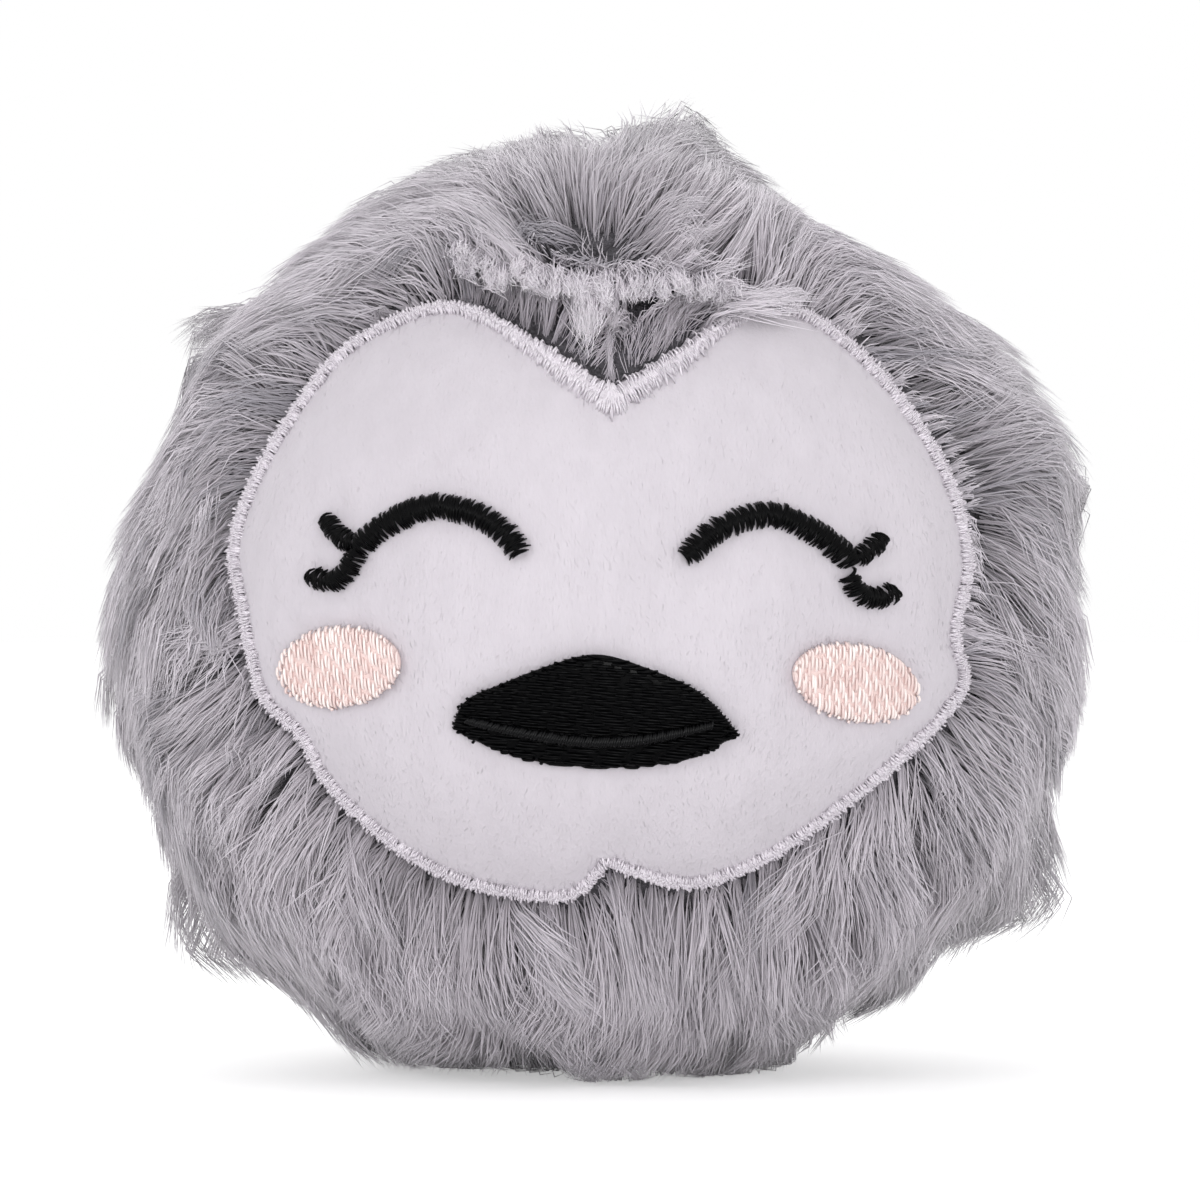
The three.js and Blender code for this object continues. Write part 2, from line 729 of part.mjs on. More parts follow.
// Eyes and lashes
const blackStrokes = [
  ['left_eye_arc', leftEyeLine, satinSteps, eyeStrokeWidth],
  ['left_upper_lash', leftUpperLashLine, lashSteps, lashStrokeWidth],
  ['left_lower_lash', leftLowerLashLine, lashSteps, lashStrokeWidth],
  ['right_eye_arc', rightEyeLine, satinSteps, eyeStrokeWidth],
  ['right_upper_lash', rightUpperLashLine, lashSteps, lashStrokeWidth],
  ['right_lower_lash', rightLowerLashLine, lashSteps, lashStrokeWidth],
];
for (const [name, line, steps, width] of blackStrokes) {
  const stations = strokeStations(line, steps, width);
  add(name, satinBand(stations, satinFoot, satinThickness, false), materials.blackThread);
}

// Beak, with the mouth line raised on it
function beakLoop() {
  const ridge = flatCurve([beakRightTip, ...[...beakRidge].reverse(), beakLeftTip]).getSpacedPoints(satinSteps);
  const under = flatCurve([beakLeftTip, ...[...beakUnderside].reverse(), beakRightTip]).getSpacedPoints(satinSteps);
  return [...ridge.slice(0, -1), ...under.slice(0, -1)];
}

const beakTop = satinFoot + beakThickness;
add(
  'beak_patch',
  faceLayer(beakLoop(), beakMiddle, 3, satinFoot, beakTop, satinFoot + beakThickness / 2),
  materials.blackThread,
);
add(
  'mouth_line',
  satinBand(strokeStations(mouthLine, satinSteps, mouthStrokeWidth), mouthFoot, mouthThickness, false),
  materials.blackThread,
);

// Cheeks
const cheeks = [
  ['left_cheek', leftCheekMiddle, leftCheekHalfWidth, leftCheekHalfHeight, leftCheekTilt],
  ['right_cheek', rightCheekMiddle, rightCheekHalfWidth, rightCheekHalfHeight, rightCheekTilt],
];
for (const [name, middle, halfWidth, halfHeight, tilt] of cheeks) {
  const loop = ovalLoop(middle, halfWidth, halfHeight, tilt, roundSteps);
  const top = satinFoot + satinThickness;
  add(name, faceLayer(loop, middle, 2, satinFoot, top, satinFoot + satinThickness / 2), materials.pinkThread);
}

// Inside
add('stuffing_front', stuffingWad(true), materials.stuffing);
add('stuffing_back', stuffingWad(false), materials.stuffing);
add('squeaker_bulb', squeakerBulb(), materials.bulbPlastic);
add('reed_sleeve', reedSleeve(), materials.reedPlastic);
add('reed_seat', reedSeat(), materials.reedPlastic);
add('reed', reedStrip(), materials.reedFilm);
add('reed_clamp', reedClamp(), materials.reedPlastic);

// The origin is the middle of the box that holds the toy, on the surface that it rests on.
const box = new THREE.Box3().setFromObject(toy);
toy.position.set(-(box.min.x + box.max.x) / 2, -(box.min.y + box.max.y) / 2, -box.min.z);

export default toy;
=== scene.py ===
"""Looks of a long-pile plush ball with an embroidered baby penguin face.

Shapes are worked out in millimetres from the ball's middle, with x to the right, y into the depth
and z up, and are put into the row frame in metres when their mesh is made.
"""

import logging
import math
from dataclasses import dataclass, field
from enum import Enum
from typing import Callable, Sequence

import bpy
import numpy as np
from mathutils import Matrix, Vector
from mathutils.bvhtree import BVHTree
from mathutils.kdtree import KDTree


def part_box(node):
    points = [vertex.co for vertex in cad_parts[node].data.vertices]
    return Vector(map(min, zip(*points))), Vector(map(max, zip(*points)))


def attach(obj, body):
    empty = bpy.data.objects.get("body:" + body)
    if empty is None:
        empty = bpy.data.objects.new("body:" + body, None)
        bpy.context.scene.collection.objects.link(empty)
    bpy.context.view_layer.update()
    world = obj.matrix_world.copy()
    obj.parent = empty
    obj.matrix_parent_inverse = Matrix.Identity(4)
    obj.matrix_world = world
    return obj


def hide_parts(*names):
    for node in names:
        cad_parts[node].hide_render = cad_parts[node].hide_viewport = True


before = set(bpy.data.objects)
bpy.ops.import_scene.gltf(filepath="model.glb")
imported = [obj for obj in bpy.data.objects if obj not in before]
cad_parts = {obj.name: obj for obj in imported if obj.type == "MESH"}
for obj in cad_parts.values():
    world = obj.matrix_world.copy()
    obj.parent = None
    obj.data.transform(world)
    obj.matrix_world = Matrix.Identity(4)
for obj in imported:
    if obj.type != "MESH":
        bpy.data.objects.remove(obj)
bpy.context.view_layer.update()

MM = 0.001
BAKE_MAP = "OFBake"
ROOT_RADIUS = 47.0  # about where the pile's strands lie, mm from the middle
OUTER_RADIUS = 51.0  # about where the pile ends
FACE_SHARE = 0.827  # the face's half width as a share of the skin's
SEWN_SHARE = 0.97  # how much nearer the middle what is sewn on the cloth is seen
BULB_TOP = 22.0  # from the ball's middle up to the bulb's top
UNDER_RINGS = (1.0, 0.97, 0.7, 0.4, 0.15)  # a sheet's underside, from the rim in
STRIPE = 3.2 / 1024  # width of a strand's stripe on the map
MAP_FOOT, MAP_RUN = 0.004, 0.992  # where stripes start on the map and how far they run
CAP_INSET, CAP_HALF = 0.012, 0.01  # a closed end's place on the stripe and its half height
log = logging.getLogger("plush_ball")
Array = np.ndarray


def unit(vectors: Array) -> Array:
    """The vectors at length 1."""
    return vectors / np.maximum(np.linalg.norm(vectors, axis=-1, keepdims=True), 1e-9)


def beside(vectors: Array, directions: Array) -> Array:
    """What is left of the vectors across the directions."""
    return vectors - (vectors * directions).sum(-1, keepdims=True) * directions


def leftward(ways: Array) -> Array:
    """Flat ways turned left by a right angle."""
    return np.stack([-ways[:, 1], ways[:, 0]], 1)


def clock_of(directions: Array) -> Array:
    """The angle at which directions are seen from the front, in degrees from the right."""
    return np.degrees(np.arctan2(directions[:, 2], directions[:, 0]))


def ramp(values: Array, low: float, high: float) -> Array:
    """A smooth step from 0 at low to 1 at high."""
    share = np.clip((np.asarray(values) - low) / (high - low), 0, 1)
    return share * share * (3 - 2 * share)


def band(values: Array, low: float, rise: float, fall: float, high: float) -> Array:
    """A smooth step up from low to rise and down again from fall to high."""
    return ramp(values, low, rise) * (1 - ramp(values, fall, high))


def linear(*levels: float) -> tuple[float, float, float]:
    """A colour of 0 to 255 levels as scene-linear numbers.

    Args:
        *levels: red, green and blue.

    Returns:
        The colour.
    """
    return tuple(
        c / 12.92 if c <= 0.04045 else ((c + 0.055) / 1.055) ** 2.4
        for c in (level / 255 for level in levels)
    )


def length_of(line: Array) -> float:
    """The length of a line of points."""
    return np.linalg.norm(np.diff(line, axis=0), axis=1).sum()


def evenly(line: Array, count: int) -> Array:
    """Points at even distances along a line of points.

    Args:
        line: the line's points.
        count: how many.

    Returns:
        The points.
    """
    gone = np.concatenate([[0], np.cumsum(np.linalg.norm(np.diff(line, axis=0), axis=1))])
    wanted = np.linspace(0, gone[-1], count)
    return np.stack([np.interp(wanted, gone, line[:, k]) for k in range(line.shape[1])], 1)


def round_loop(loop: Array, pitch: float) -> Array:
    """Points all round a closed loop, about a pitch apart."""
    closed = np.concatenate([loop, loop[:1]])
    return evenly(closed, int(length_of(closed) / pitch) + 1)[:-1]


def smooth_line(points: Sequence[Sequence[float]], count: int, steps: int = 60) -> Array:
    """Evenly spaced points along a smooth curve through the given ones.

    Args:
        points: what it runs through.
        count: how many.
        steps: steps from one to the next.

    Returns:
        The points.
    """
    knots = np.array(points, float)
    last = len(knots) - 1
    at = np.linspace(0, last, steps * last + 1)
    i = np.minimum(at.astype(int), last - 1)
    t = (at - i)[:, None]
    before, here = knots[np.maximum(i - 1, 0)], knots[i]
    after, beyond = knots[i + 1], knots[np.minimum(i + 2, last)]
    leave, arrive = (after - before) / 2, (beyond - here) / 2
    curve = (
        (2 * here - 2 * after + leave + arrive) * t**3
        + (3 * after - 3 * here - 2 * leave - arrive) * t**2
        + leave * t
        + here
    )
    return evenly(curve, count)


def nearest(points: Array, targets: Array, batch: int = 8000) -> tuple[Array, Array]:
    """For each point, the distance to the nearest target and that target's number.

    Args:
        points: the points.
        targets: what they are held against.
        batch: how many at a time.

    Returns:
        The distances and the numbers.
    """
    distance = np.empty(len(points))
    which = np.empty(len(points), int)
    for start in range(0, len(points), batch):
        part = points[start : start + batch]
        gap = ((part[:, None] - targets[None]) ** 2).sum(-1)
        which[start : start + batch] = gap.argmin(1)
        distance[start : start + batch] = np.sqrt(gap.min(1))
    return distance, which


def inside(loop: Array, points: Array) -> Array:
    """Which flat points lie inside a closed loop.

    Args:
        loop: the loop's points, anticlockwise.
        points: flat points.

    Returns:
        True for each that does.
    """
    found = np.zeros(len(points), bool)
    x, z = points.T
    for a, b in zip(loop, np.roll(loop, -1, 0)):
        if a[1] == b[1]:
            continue
        crosses = (a[1] > z) != (b[1] > z)
        found ^= crosses & (x < a[0] + (b[0] - a[0]) * (z - a[1]) / (b[1] - a[1]))
    return found


def inward(loop: Array) -> Array:
    """The direction into an anticlockwise loop at each corner, as long as a mitre needs.

    Args:
        loop: the loop's points, anticlockwise.

    Returns:
        A flat way for each corner.
    """
    before = unit(loop - np.roll(loop, 1, 0))
    after = unit(np.roll(loop, -1, 0) - loop)
    way = unit(leftward(before + after))
    return way / np.maximum(-way[:, :1] * before[:, 1:] + way[:, 1:] * before[:, :1], 0.5)


# Shapes shared by the pieces


@dataclass(frozen=True)
class BallSkin:
    """The cloth surface of the stuffed ball."""

    half_width: float = 45.5
    front_depth: float = 41.0
    back_depth: float = 45.0
    rise_above: float = 43.5
    drop_below: float = 44.5

    def axes(self, points: Array) -> Array:
        """The semi-axes that hold at each point or direction.

        Args:
            points: places or directions.

        Returns:
            Three lengths for each.
        """
        width = np.full(points.shape[:-1], self.half_width)
        depth = np.where(points[..., 1] < 0, self.front_depth, self.back_depth)
        height = np.where(points[..., 2] > 0, self.rise_above, self.drop_below)
        return np.stack([width, depth, height], -1)

    def radius(self, directions: Array) -> Array:
        """The skin's distance from the middle along unit vectors."""
        return 1 / np.linalg.norm(directions / self.axes(directions), axis=-1)

    def normal(self, points: Array) -> Array:
        """The way out of the skin at points near it."""
        return unit(points / self.axes(points) ** 2)

    def on_face(self, flat: Array, height: Array | float) -> Array:
        """Points of the face given as seen from the front, raised off the skin.

        Args:
            flat: points, right and up.
            height: how far each lies above the skin.

        Returns:
            The points in space.
        """
        x, z = flat[..., 0], flat[..., 1]
        rise = np.where(z > 0, self.rise_above, self.drop_below)
        rest = 1 - (x / self.half_width) ** 2 - (z / rise) ** 2
        y = -self.front_depth * np.sqrt(np.maximum(rest, 0))
        foot = np.stack([x, y, z], -1)
        return foot + self.normal(foot) * np.asarray(height)[..., None]


def on_face_pattern(points: Sequence[Sequence[float]]) -> Array:
    """Millimetres for points given in parts of the face's half width."""
    return np.array(points, float) * FACE_SHARE * BallSkin().half_width


def sewn_pattern(points: Sequence[Sequence[float]]) -> Array:
    """The same for what is sewn on the cloth, which lies higher than its edge."""
    return on_face_pattern(points) * SEWN_SHARE


@dataclass(frozen=True)
class FacePattern:
    """The face cloth's outline and the lines sewn on it, in parts of its half width."""

    peak: tuple = (0.031, 0.567)
    chin: tuple = (0.021, -0.703)
    left_edge: tuple = (
        (-0.105, 0.654), (-0.267, 0.749), (-0.41, 0.792), (-0.579, 0.741), (-0.733, 0.631),
        (-0.908, 0.374), (-0.992, 0.154), (-0.969, -0.013), (-0.913, -0.251), (-0.803, -0.367),
        (-0.723, -0.503), (-0.536, -0.669), (-0.338, -0.764), (-0.128, -0.797), (-0.041, -0.774),
    )
    right_edge: tuple = (
        (0.213, 0.674), (0.374, 0.774), (0.523, 0.785), (0.674, 0.69), (0.815, 0.538),
        (0.946, 0.323), (0.997, 0.108), (0.962, -0.087), (0.982, -0.241), (0.805, -0.431),
        (0.536, -0.636), (0.374, -0.726), (0.236, -0.762), (0.118, -0.738),
    )
    middle: tuple = (0.0, -0.026)

    def outline(self, side_points: int = 240) -> Array:
        """The outline as a loop, anticlockwise from the peak.

        Args:
            side_points: points on each side.

        Returns:
            The loop's points.
        """
        left = smooth_line(on_face_pattern([self.peak, *self.left_edge, self.chin]), side_points)
        right = smooth_line(on_face_pattern([self.peak, *self.right_edge, self.chin]), side_points)
        return np.concatenate([left[:-1], right[::-1][:-1]])


@dataclass(frozen=True)
class EdgeWidth:
    """How wide the satin edge of the face is."""

    plain: float = 1.3
    at_chin: float = 2.0
    at_peak: float = 3.2
    widening: float = 11.0
    chin: tuple = (-9.0, -29.5)
    chin_reach: float = 13.0

    def near(self, points: Array) -> Array:
        """The width at points of the outline.

        Args:
            points: the points.

        Returns:
            Millimetres.
        """
        away = np.linalg.norm(points - on_face_pattern(FacePattern().peak), axis=1) / self.widening
        from_chin = np.linalg.norm(points - on_face_pattern(self.chin), axis=1) / self.chin_reach
        chin = (self.at_chin - self.plain) * np.exp(-(from_chin**2))
        return self.plain + (self.at_peak - self.plain) * np.exp(-(away**2)) + chin


class DirectionGrid:
    """Values held for every direction from the ball's middle and read back between its points."""

    rows = 241
    columns = 480

    def __init__(self) -> None:
        """Lays the grid out by latitude and longitude."""
        latitude = np.linspace(-np.pi / 2, np.pi / 2, self.rows)[:, None]
        longitude = np.arange(self.columns)[None] * 2 * np.pi / self.columns
        level = np.cos(latitude)
        up = np.sin(latitude) + 0 * longitude
        self.directions = np.stack([level * np.cos(longitude), level * np.sin(longitude), up], -1)

    def _place(self, directions: Array) -> tuple[Array, Array]:
        """Row and column of directions, as fractions.

        Args:
            directions: unit vectors from the middle.

        Returns:
            Both for each.
        """
        row = (np.arcsin(np.clip(directions[..., 2], -1, 1)) / np.pi + 0.5) * (self.rows - 1)
        column = np.arctan2(directions[..., 1], directions[..., 0]) / (2 * np.pi) * self.columns
        return row, column % self.columns

    def read(self, values: Array, directions: Array) -> Array:
        """The values at directions, blended between the four nearest points.

        Args:
            values: values by row and column.
            directions: unit vectors from the middle.

        Returns:
            A value for each direction.
        """
        row, column = self._place(directions)
        r = np.minimum(row.astype(int), self.rows - 2)
        c = column.astype(int) % self.columns
        right = (c + 1) % self.columns
        fr, fc = row - r, column - np.floor(column)
        if values.ndim > 2:
            fr, fc = fr[..., None], fc[..., None]
        low = values[r, c] * (1 - fc) + values[r, right] * fc
        high = values[r + 1, c] * (1 - fc) + values[r + 1, right] * fc
        return low * (1 - fr) + high * fr

    def pick(self, values: Array, directions: Array) -> Array:
        """The values of the nearest points of the grid."""
        row, column = self._place(directions)
        return values[row.round().astype(int), column.round().astype(int) % self.columns]


def ball_middle() -> Vector:
    """The middle of the ball in the row frame, found from the top of the squeaker bulb."""
    low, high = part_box("squeaker_bulb")
    return Vector(((low.x + high.x) / 2, (low.y + high.y) / 2, high.z - BULB_TOP * MM))


MIDDLE = np.array(ball_middle())


# Meshes


@dataclass
class Faces:
    """Vertices in millimetres, faces as runs of corners, and a map place for each corner."""

    points: Array
    corners: Array
    counts: Array
    places: Array | None = None
    normals: Array | None = None

    def joined(self, other: "Faces") -> "Faces":
        """Both as one.

        Args:
            other: more faces.

        Returns:
            All of them.
        """
        places = None
        if self.places is not None and other.places is not None:
            places = np.concatenate([self.places, other.places])
        return Faces(
            np.concatenate([self.points, other.points]),
            np.concatenate([self.corners, other.corners + len(self.points)]),
            np.concatenate([self.counts, other.counts]),
            places,
        )

    def piece(self, name: str) -> bpy.types.Object:
        """A smooth-shaded object of that name, in the row frame.

        Args:
            name: its name.

        Returns:
            The object.
        """
        mesh = bpy.data.meshes.new(name)
        mesh.vertices.add(len(self.points))
        mesh.vertices.foreach_set("co", (self.points * MM + MIDDLE).astype(np.float32).ravel())
        mesh.loops.add(len(self.corners))
        mesh.loops.foreach_set("vertex_index", self.corners.astype(np.int32))
        mesh.polygons.add(len(self.counts))
        starts = np.concatenate([[0], np.cumsum(self.counts)[:-1]])
        mesh.polygons.foreach_set("loop_start", starts.astype(np.int32))
        mesh.update(calc_edges=True)
        mesh.polygons.foreach_set("use_smooth", np.ones(len(self.counts), bool))
        if self.places is not None:
            layer = mesh.uv_layers.new(name=BAKE_MAP)
            layer.uv.foreach_set("vector", self.places.astype(np.float32).ravel())
        mesh.update()
        if self.normals is not None:
            mesh.normals_split_custom_set_from_vertices(self.normals.astype(np.float32))
        piece = bpy.data.objects.new(name, mesh)
        bpy.context.scene.collection.objects.link(piece)
        return piece


def strands(
    paths: Array, radii: Array, sides: int, shade: Array, pointed: bool, turn: Array,
    soft: float = 0.0,
) -> Faces:
    """Closed strands swept along paths, each with a narrow stripe of the map.

    Args:
        paths: strands by points by 3.
        radii: strands by points.
        sides: faces round a strand.
        shade: where each strand's stripe lies on the map, from 0 to 1.
        pointed: whether the last point is a tip.
        turn: angle by which each strand's section is turned.
        soft: how much the strands are shaded as the surface they lie on, from 0 to 1.

    Returns:
        The faces. The map's second number runs from root to tip.
    """
    count, length = paths.shape[:2]
    rings = length - 1 if pointed else length
    along = unit(np.gradient(paths, axis=1))
    outward = unit(paths + 1e-6)
    side = unit(np.cross(outward, along) + 1e-7)
    up = np.cross(along, side)
    angle = 2 * np.pi * np.arange(sides)[None, :] / sides + turn[:, None]
    ring = (
        np.cos(angle)[:, None, :, None] * side[:, :rings, None]
        + np.sin(angle)[:, None, :, None] * up[:, :rings, None]
    )
    points = paths[:, :rings, None] + ring * radii[:, :rings, None, None]
    points = points.reshape(count, rings * sides, 3)
    facing = (ring * (1 - soft) + outward[:, :rings, None] * soft).reshape(points.shape)
    if pointed:
        points = np.concatenate([points, paths[:, -1:]], 1)
        facing = np.concatenate([facing, outward[:, -1:]], 1)
    corners, counts, place = [], [], []
    level = MAP_FOOT + MAP_RUN * np.linspace(0, 1, length)
    for r in range(rings - 1):
        for s in range(sides):
            n = (s + 1) % sides
            corners += [r * sides + s, r * sides + n, (r + 1) * sides + n, (r + 1) * sides + s]
            place += [(0, level[r]), (1, level[r]), (1, level[r + 1]), (0, level[r + 1])]
            counts.append(4)
    caps = [(list(range(sides))[::-1], level[0] + CAP_INSET)]
    last = (rings - 1) * sides
    if pointed:
        for s in range(sides):
            corners += [last + s, last + (s + 1) % sides, rings * sides]
            place += [(0, level[rings - 1]), (1, level[rings - 1]), (0.5, level[-1])]
            counts.append(3)
    else:
        caps.append(([last + s for s in range(sides)], level[-1] - CAP_INSET))
    for cap, height in caps:
        corners += cap
        for k in range(sides):
            spin = 2 * np.pi * k / sides
            place.append((0.5 + 0.5 * np.cos(spin), height + CAP_HALF * np.sin(spin)))
        counts.append(sides)
    size = points.shape[1]
    stripe = np.stack([shade * (1 - STRIPE), 0 * shade], 1)[:, None]
    places = np.array(place)[None] * (STRIPE, 1) + stripe
    return Faces(
        points.reshape(-1, 3),
        (np.array(corners)[None] + size * np.arange(count)[:, None]).ravel(),
        np.tile(counts, count),
        places.reshape(-1, 2),
        unit(facing.reshape(-1, 3)) if soft else None,
    )


def layer_on_face(
    loop: Array, middle: Array, fractions: Array, top: Callable, edge: float, foot: float
) -> Faces:
    """A closed sheet on the face inside a loop, its top as high above the skin as top(points) says.

    Args:
        loop: the rim, anticlockwise as seen from the front.
        middle: the point that the rings close round.
        fractions: how far out each ring of the top lies, up to 1.
        top: height for flat points.
        edge: height of the top's rim.
        foot: height of the underside.

    Returns:
        The faces, with a map of the flat shape.
    """
    skin = BallSkin()
    count = len(loop)
    flats, heights = [middle[None]], [top(middle[None])]
    for fraction in fractions:
        flat = middle + (loop - middle) * fraction
        flats.append(flat)
        heights.append(np.full(count, edge) if fraction == fractions[-1] else top(flat))
    upper = len(fractions)
    for fraction in UNDER_RINGS:
        flats.append(middle + (loop - middle) * fraction)
        heights.append(np.full(count, foot))
    flats.append(middle[None])
    heights.append(np.array([foot]))
    flat = np.concatenate(flats)
    points = skin.on_face(flat, np.concatenate(heights))
    i = np.arange(count)
    j = (i + 1) % count
    start = 1 + np.arange(upper + len(UNDER_RINGS)) * count
    quads = []
    for inner, outer in zip(start[:-1], start[1:]):
        quads.append(np.stack([inner + i, outer + i, outer + j, inner + j], 1))
    fan = np.stack([0 * i, 1 + i, 1 + j], 1)
    end = start[-1]
    base = np.stack([0 * i + len(points) - 1, end + j, end + i], 1)
    quads = np.concatenate(quads)
    corners = np.concatenate([quads.ravel(), fan.ravel(), base.ravel()])
    counts = np.concatenate([np.full(len(quads), 4), np.full(2 * count, 3)])
    return Faces(points, corners, counts)


# Materials


class Wire:
    """An output of a node, which can be added to and multiplied by way of Math nodes."""

    def __init__(self, nodes: "Nodes", socket: bpy.types.NodeSocket) -> None:
        """Holds an output."""
        self.nodes = nodes
        self.socket = socket

    def _math(self, operation: str, other: "Wire | float", clamp: bool = False) -> "Wire":
        """The outcome of one Math node."""
        settings = {"operation": operation, "use_clamp": clamp}
        return self.nodes.add("ShaderNodeMath", settings, {0: self, 1: other})

    def __add__(self, other: "Wire | float") -> "Wire":
        """Sum."""
        return self._math("ADD", other)

    __radd__ = __add__

    def __mul__(self, other: "Wire | float") -> "Wire":
        """Product."""
        return self._math("MULTIPLY", other)

    __rmul__ = __mul__

    def either(self, other: "Wire") -> "Wire":
        """1 where either is."""
        return self._math("ADD", other, True)


class Nodes:
    """Adds nodes to a tree."""

    def __init__(self, tree: bpy.types.NodeTree) -> None:
        """Empties the tree."""
        self.tree = tree
        tree.nodes.clear()

    def node(self, kind: str, settings: dict, sockets: dict) -> bpy.types.Node:
        """Adds a node.

        Args:
            kind: the node's type.
            settings: its own settings, set first. "stops" are a ramp's places and colours.
            sockets: values or wires by input name or number.

        Returns:
            The node.
        """
        made = self.tree.nodes.new(kind)
        for key, value in settings.items():
            if key != "stops":
                setattr(made, key, value)
                continue
            elements = made.color_ramp.elements
            while len(elements) < len(value):
                elements.new(1.0)
            for element, (place, colour) in zip(elements, value):
                element.position = place
                element.color = (*colour, 1.0)
        for key, value in sockets.items():
            self.plug(made.inputs[key], value)
        return made

    def plug(self, socket: bpy.types.NodeSocket, value: "Wire | float | tuple") -> None:
        """Links or sets an input.

        Args:
            socket: the input.
            value: a wire that is linked to it, or what it is set to.
        """
        if isinstance(value, Wire):
            self.tree.links.new(value.socket, socket)
        else:
            socket.default_value = value

    def add(self, kind: str, settings: dict, sockets: dict, output: int | str = 0) -> Wire:
        """Adds a node and gives one of its outputs."""
        return Wire(self, self.node(kind, settings, sockets).outputs[output])


class Paint(Nodes):
    """Makes one material by adding nodes to it."""

    def __init__(self, name: str) -> None:
        """Starts a material with a Principled shader.

        Args:
            name: the material's name.
        """
        self.material = bpy.data.materials.new(name)
        self.material.use_nodes = True
        super().__init__(self.material.node_tree)
        self.shader = self.node("ShaderNodeBsdfPrincipled", {}, {})
        surface = {"Surface": Wire(self, self.shader.outputs[0])}
        self.out = self.node("ShaderNodeOutputMaterial", {}, surface)

    def noise(self, scale: float, detail: float, stretch: tuple) -> Wire:
        """Cloudy values over object coordinates, at so many per metre.

        Args:
            scale: how many clouds there are per metre.
            detail: how much finer they get.
            stretch: by how much each axis is stretched.

        Returns:
            Values from 0 to 1.
        """
        place = self.add("ShaderNodeTexCoord", {}, {}, "Object")
        where = self.add("ShaderNodeMapping", {}, {"Vector": place, "Scale": stretch})
        sockets = {"Vector": where, "Scale": scale, "Detail": detail}
        return self.add("ShaderNodeTexNoise", {}, sockets, "Fac")

    def strand_place(self) -> tuple[Wire, Wire]:
        """A strand's own shade and the share of the way to its tip.

        Returns:
            Both, read from the map.
        """
        where = self.add("ShaderNodeUVMap", {"uv_map": BAKE_MAP}, {})
        parts = self.node("ShaderNodeSeparateXYZ", {}, {0: where})
        return Wire(self, parts.outputs[0]), Wire(self, parts.outputs[1])

    def ramp(self, value: Wire, stops: Sequence[tuple]) -> Wire:
        """Colours for a value, from a list of places and colours."""
        return self.add("ShaderNodeValToRGB", {"stops": stops}, {0: value})

    def times(self, first: Wire, second: Wire) -> Wire:
        """One colour multiplied by another."""
        settings = {"data_type": "RGBA", "blend_type": "MULTIPLY"}
        return self.add("ShaderNodeMix", settings, {0: 1.0, 6: first, 7: second}, 2)

    def wire(self, **inputs: "Wire | float | tuple") -> None:
        """Sets or links sockets of the Principled shader, named with underscores."""
        for key, value in inputs.items():
            self.plug(self.shader.inputs[key.replace("_", " ")], value)

    def bump(self, height: Wire, distance: float) -> None:
        """Feeds a height, in metres for a value of 1, to the shader's normal."""
        self.wire(Normal=self.add("ShaderNodeBump", {}, {"Height": height, "Distance": distance}))


@dataclass(frozen=True)
class FibreFinish:
    """Pile or nap: colours from root to tip, times a ramp over each strand's own shade, which in
    the pile also carries painted shade.
    """

    name: str
    colours: tuple
    tones_and_shade: tuple
    places: tuple = (0.0, 1.0)
    settings: tuple = ()

    def material(self) -> bpy.types.Material:
        """The material, which reads only the strands' own map.

        Returns:
            The material.
        """
        paint = Paint(self.name)
        shade, along = paint.strand_place()
        stops = [(place, linear(*levels)) for place, levels in zip(self.places, self.colours)]
        colour = paint.times(paint.ramp(along, stops), paint.ramp(shade, self.tones_and_shade))
        paint.wire(Base_Color=colour, **dict(self.settings))
        return paint.material


@dataclass(frozen=True)
class ThreadFinish:
    """Shiny embroidery thread, with painted shade where a stitch dips into the cloth."""

    name: str
    dark: tuple
    light: tuple
    gloss: float
    roughness: float = 0.3
    # ends: how dark the painted shade at a stitch's two ends is; dip: how far along the stitch that
    # shade fades out.
    ends: float = 0.6
    dip: float = 0.16

    def material(self) -> bpy.types.Material:
        """The material, in which each stitch has its own shade.

        Returns:
            The material.
        """
        paint = Paint(self.name)
        shade, along = paint.strand_place()
        colour = paint.ramp(shade, [(0.0, linear(*self.dark)), (1.0, linear(*self.light))])
        dip_shade, full = (self.ends,) * 3, (1.0,) * 3
        stops = [(0.0, dip_shade), (self.dip, full), (1 - self.dip, full), (1.0, dip_shade)]
        paint.wire(
            Base_Color=paint.times(colour, paint.ramp(along, stops)),
            Roughness=self.roughness,
            Specular_IOR_Level=self.gloss,
        )
        return paint.material


@dataclass(frozen=True)
class Cloud:
    """Noise and its share in a finish's colour and relief."""

    scale: float
    detail: float
    in_colour: float = 1.0
    in_relief: float = 1.0
    stretch: tuple = (1, 1, 1)


@dataclass(frozen=True)
class CloudFinish:
    """Cloth, felt, wadding or plastic: two colours and a relief from noise."""

    name: str
    dark: tuple
    light: tuple
    clouds: tuple
    relief: float
    between: tuple = (0.35, 0.65)
    roughness: float = 0.95
    marks: float = 0.0
    settings: tuple = ()

    def material(self) -> bpy.types.Material:
        """The material.

        Returns:
            The material.
        """
        paint = Paint(self.name)
        noises = [paint.noise(cloud.scale, cloud.detail, cloud.stretch) for cloud in self.clouds]
        mix = self._mixed(noises, [cloud.in_colour for cloud in self.clouds])
        stops = list(zip(self.between, (self.dark, self.light)))
        rough = noises[0] * self.marks + self.roughness if self.marks else self.roughness
        paint.wire(Base_Color=paint.ramp(mix, stops), Roughness=rough, **dict(self.settings))
        paint.bump(self._mixed(noises, [cloud.in_relief for cloud in self.clouds]), self.relief)
        return paint.material

    @staticmethod
    def _mixed(noises: list[Wire], shares: list[float]) -> Wire:
        """The noises added up by their shares.

        Args:
            noises: the noises.
            shares: how much of each.

        Returns:
            The sum, without those that have no share.
        """
        parts = [n if share == 1 else n * share for n, share in zip(noises, shares) if share]
        total = parts[0]
        for part in parts[1:]:
            total = total + part
        return total


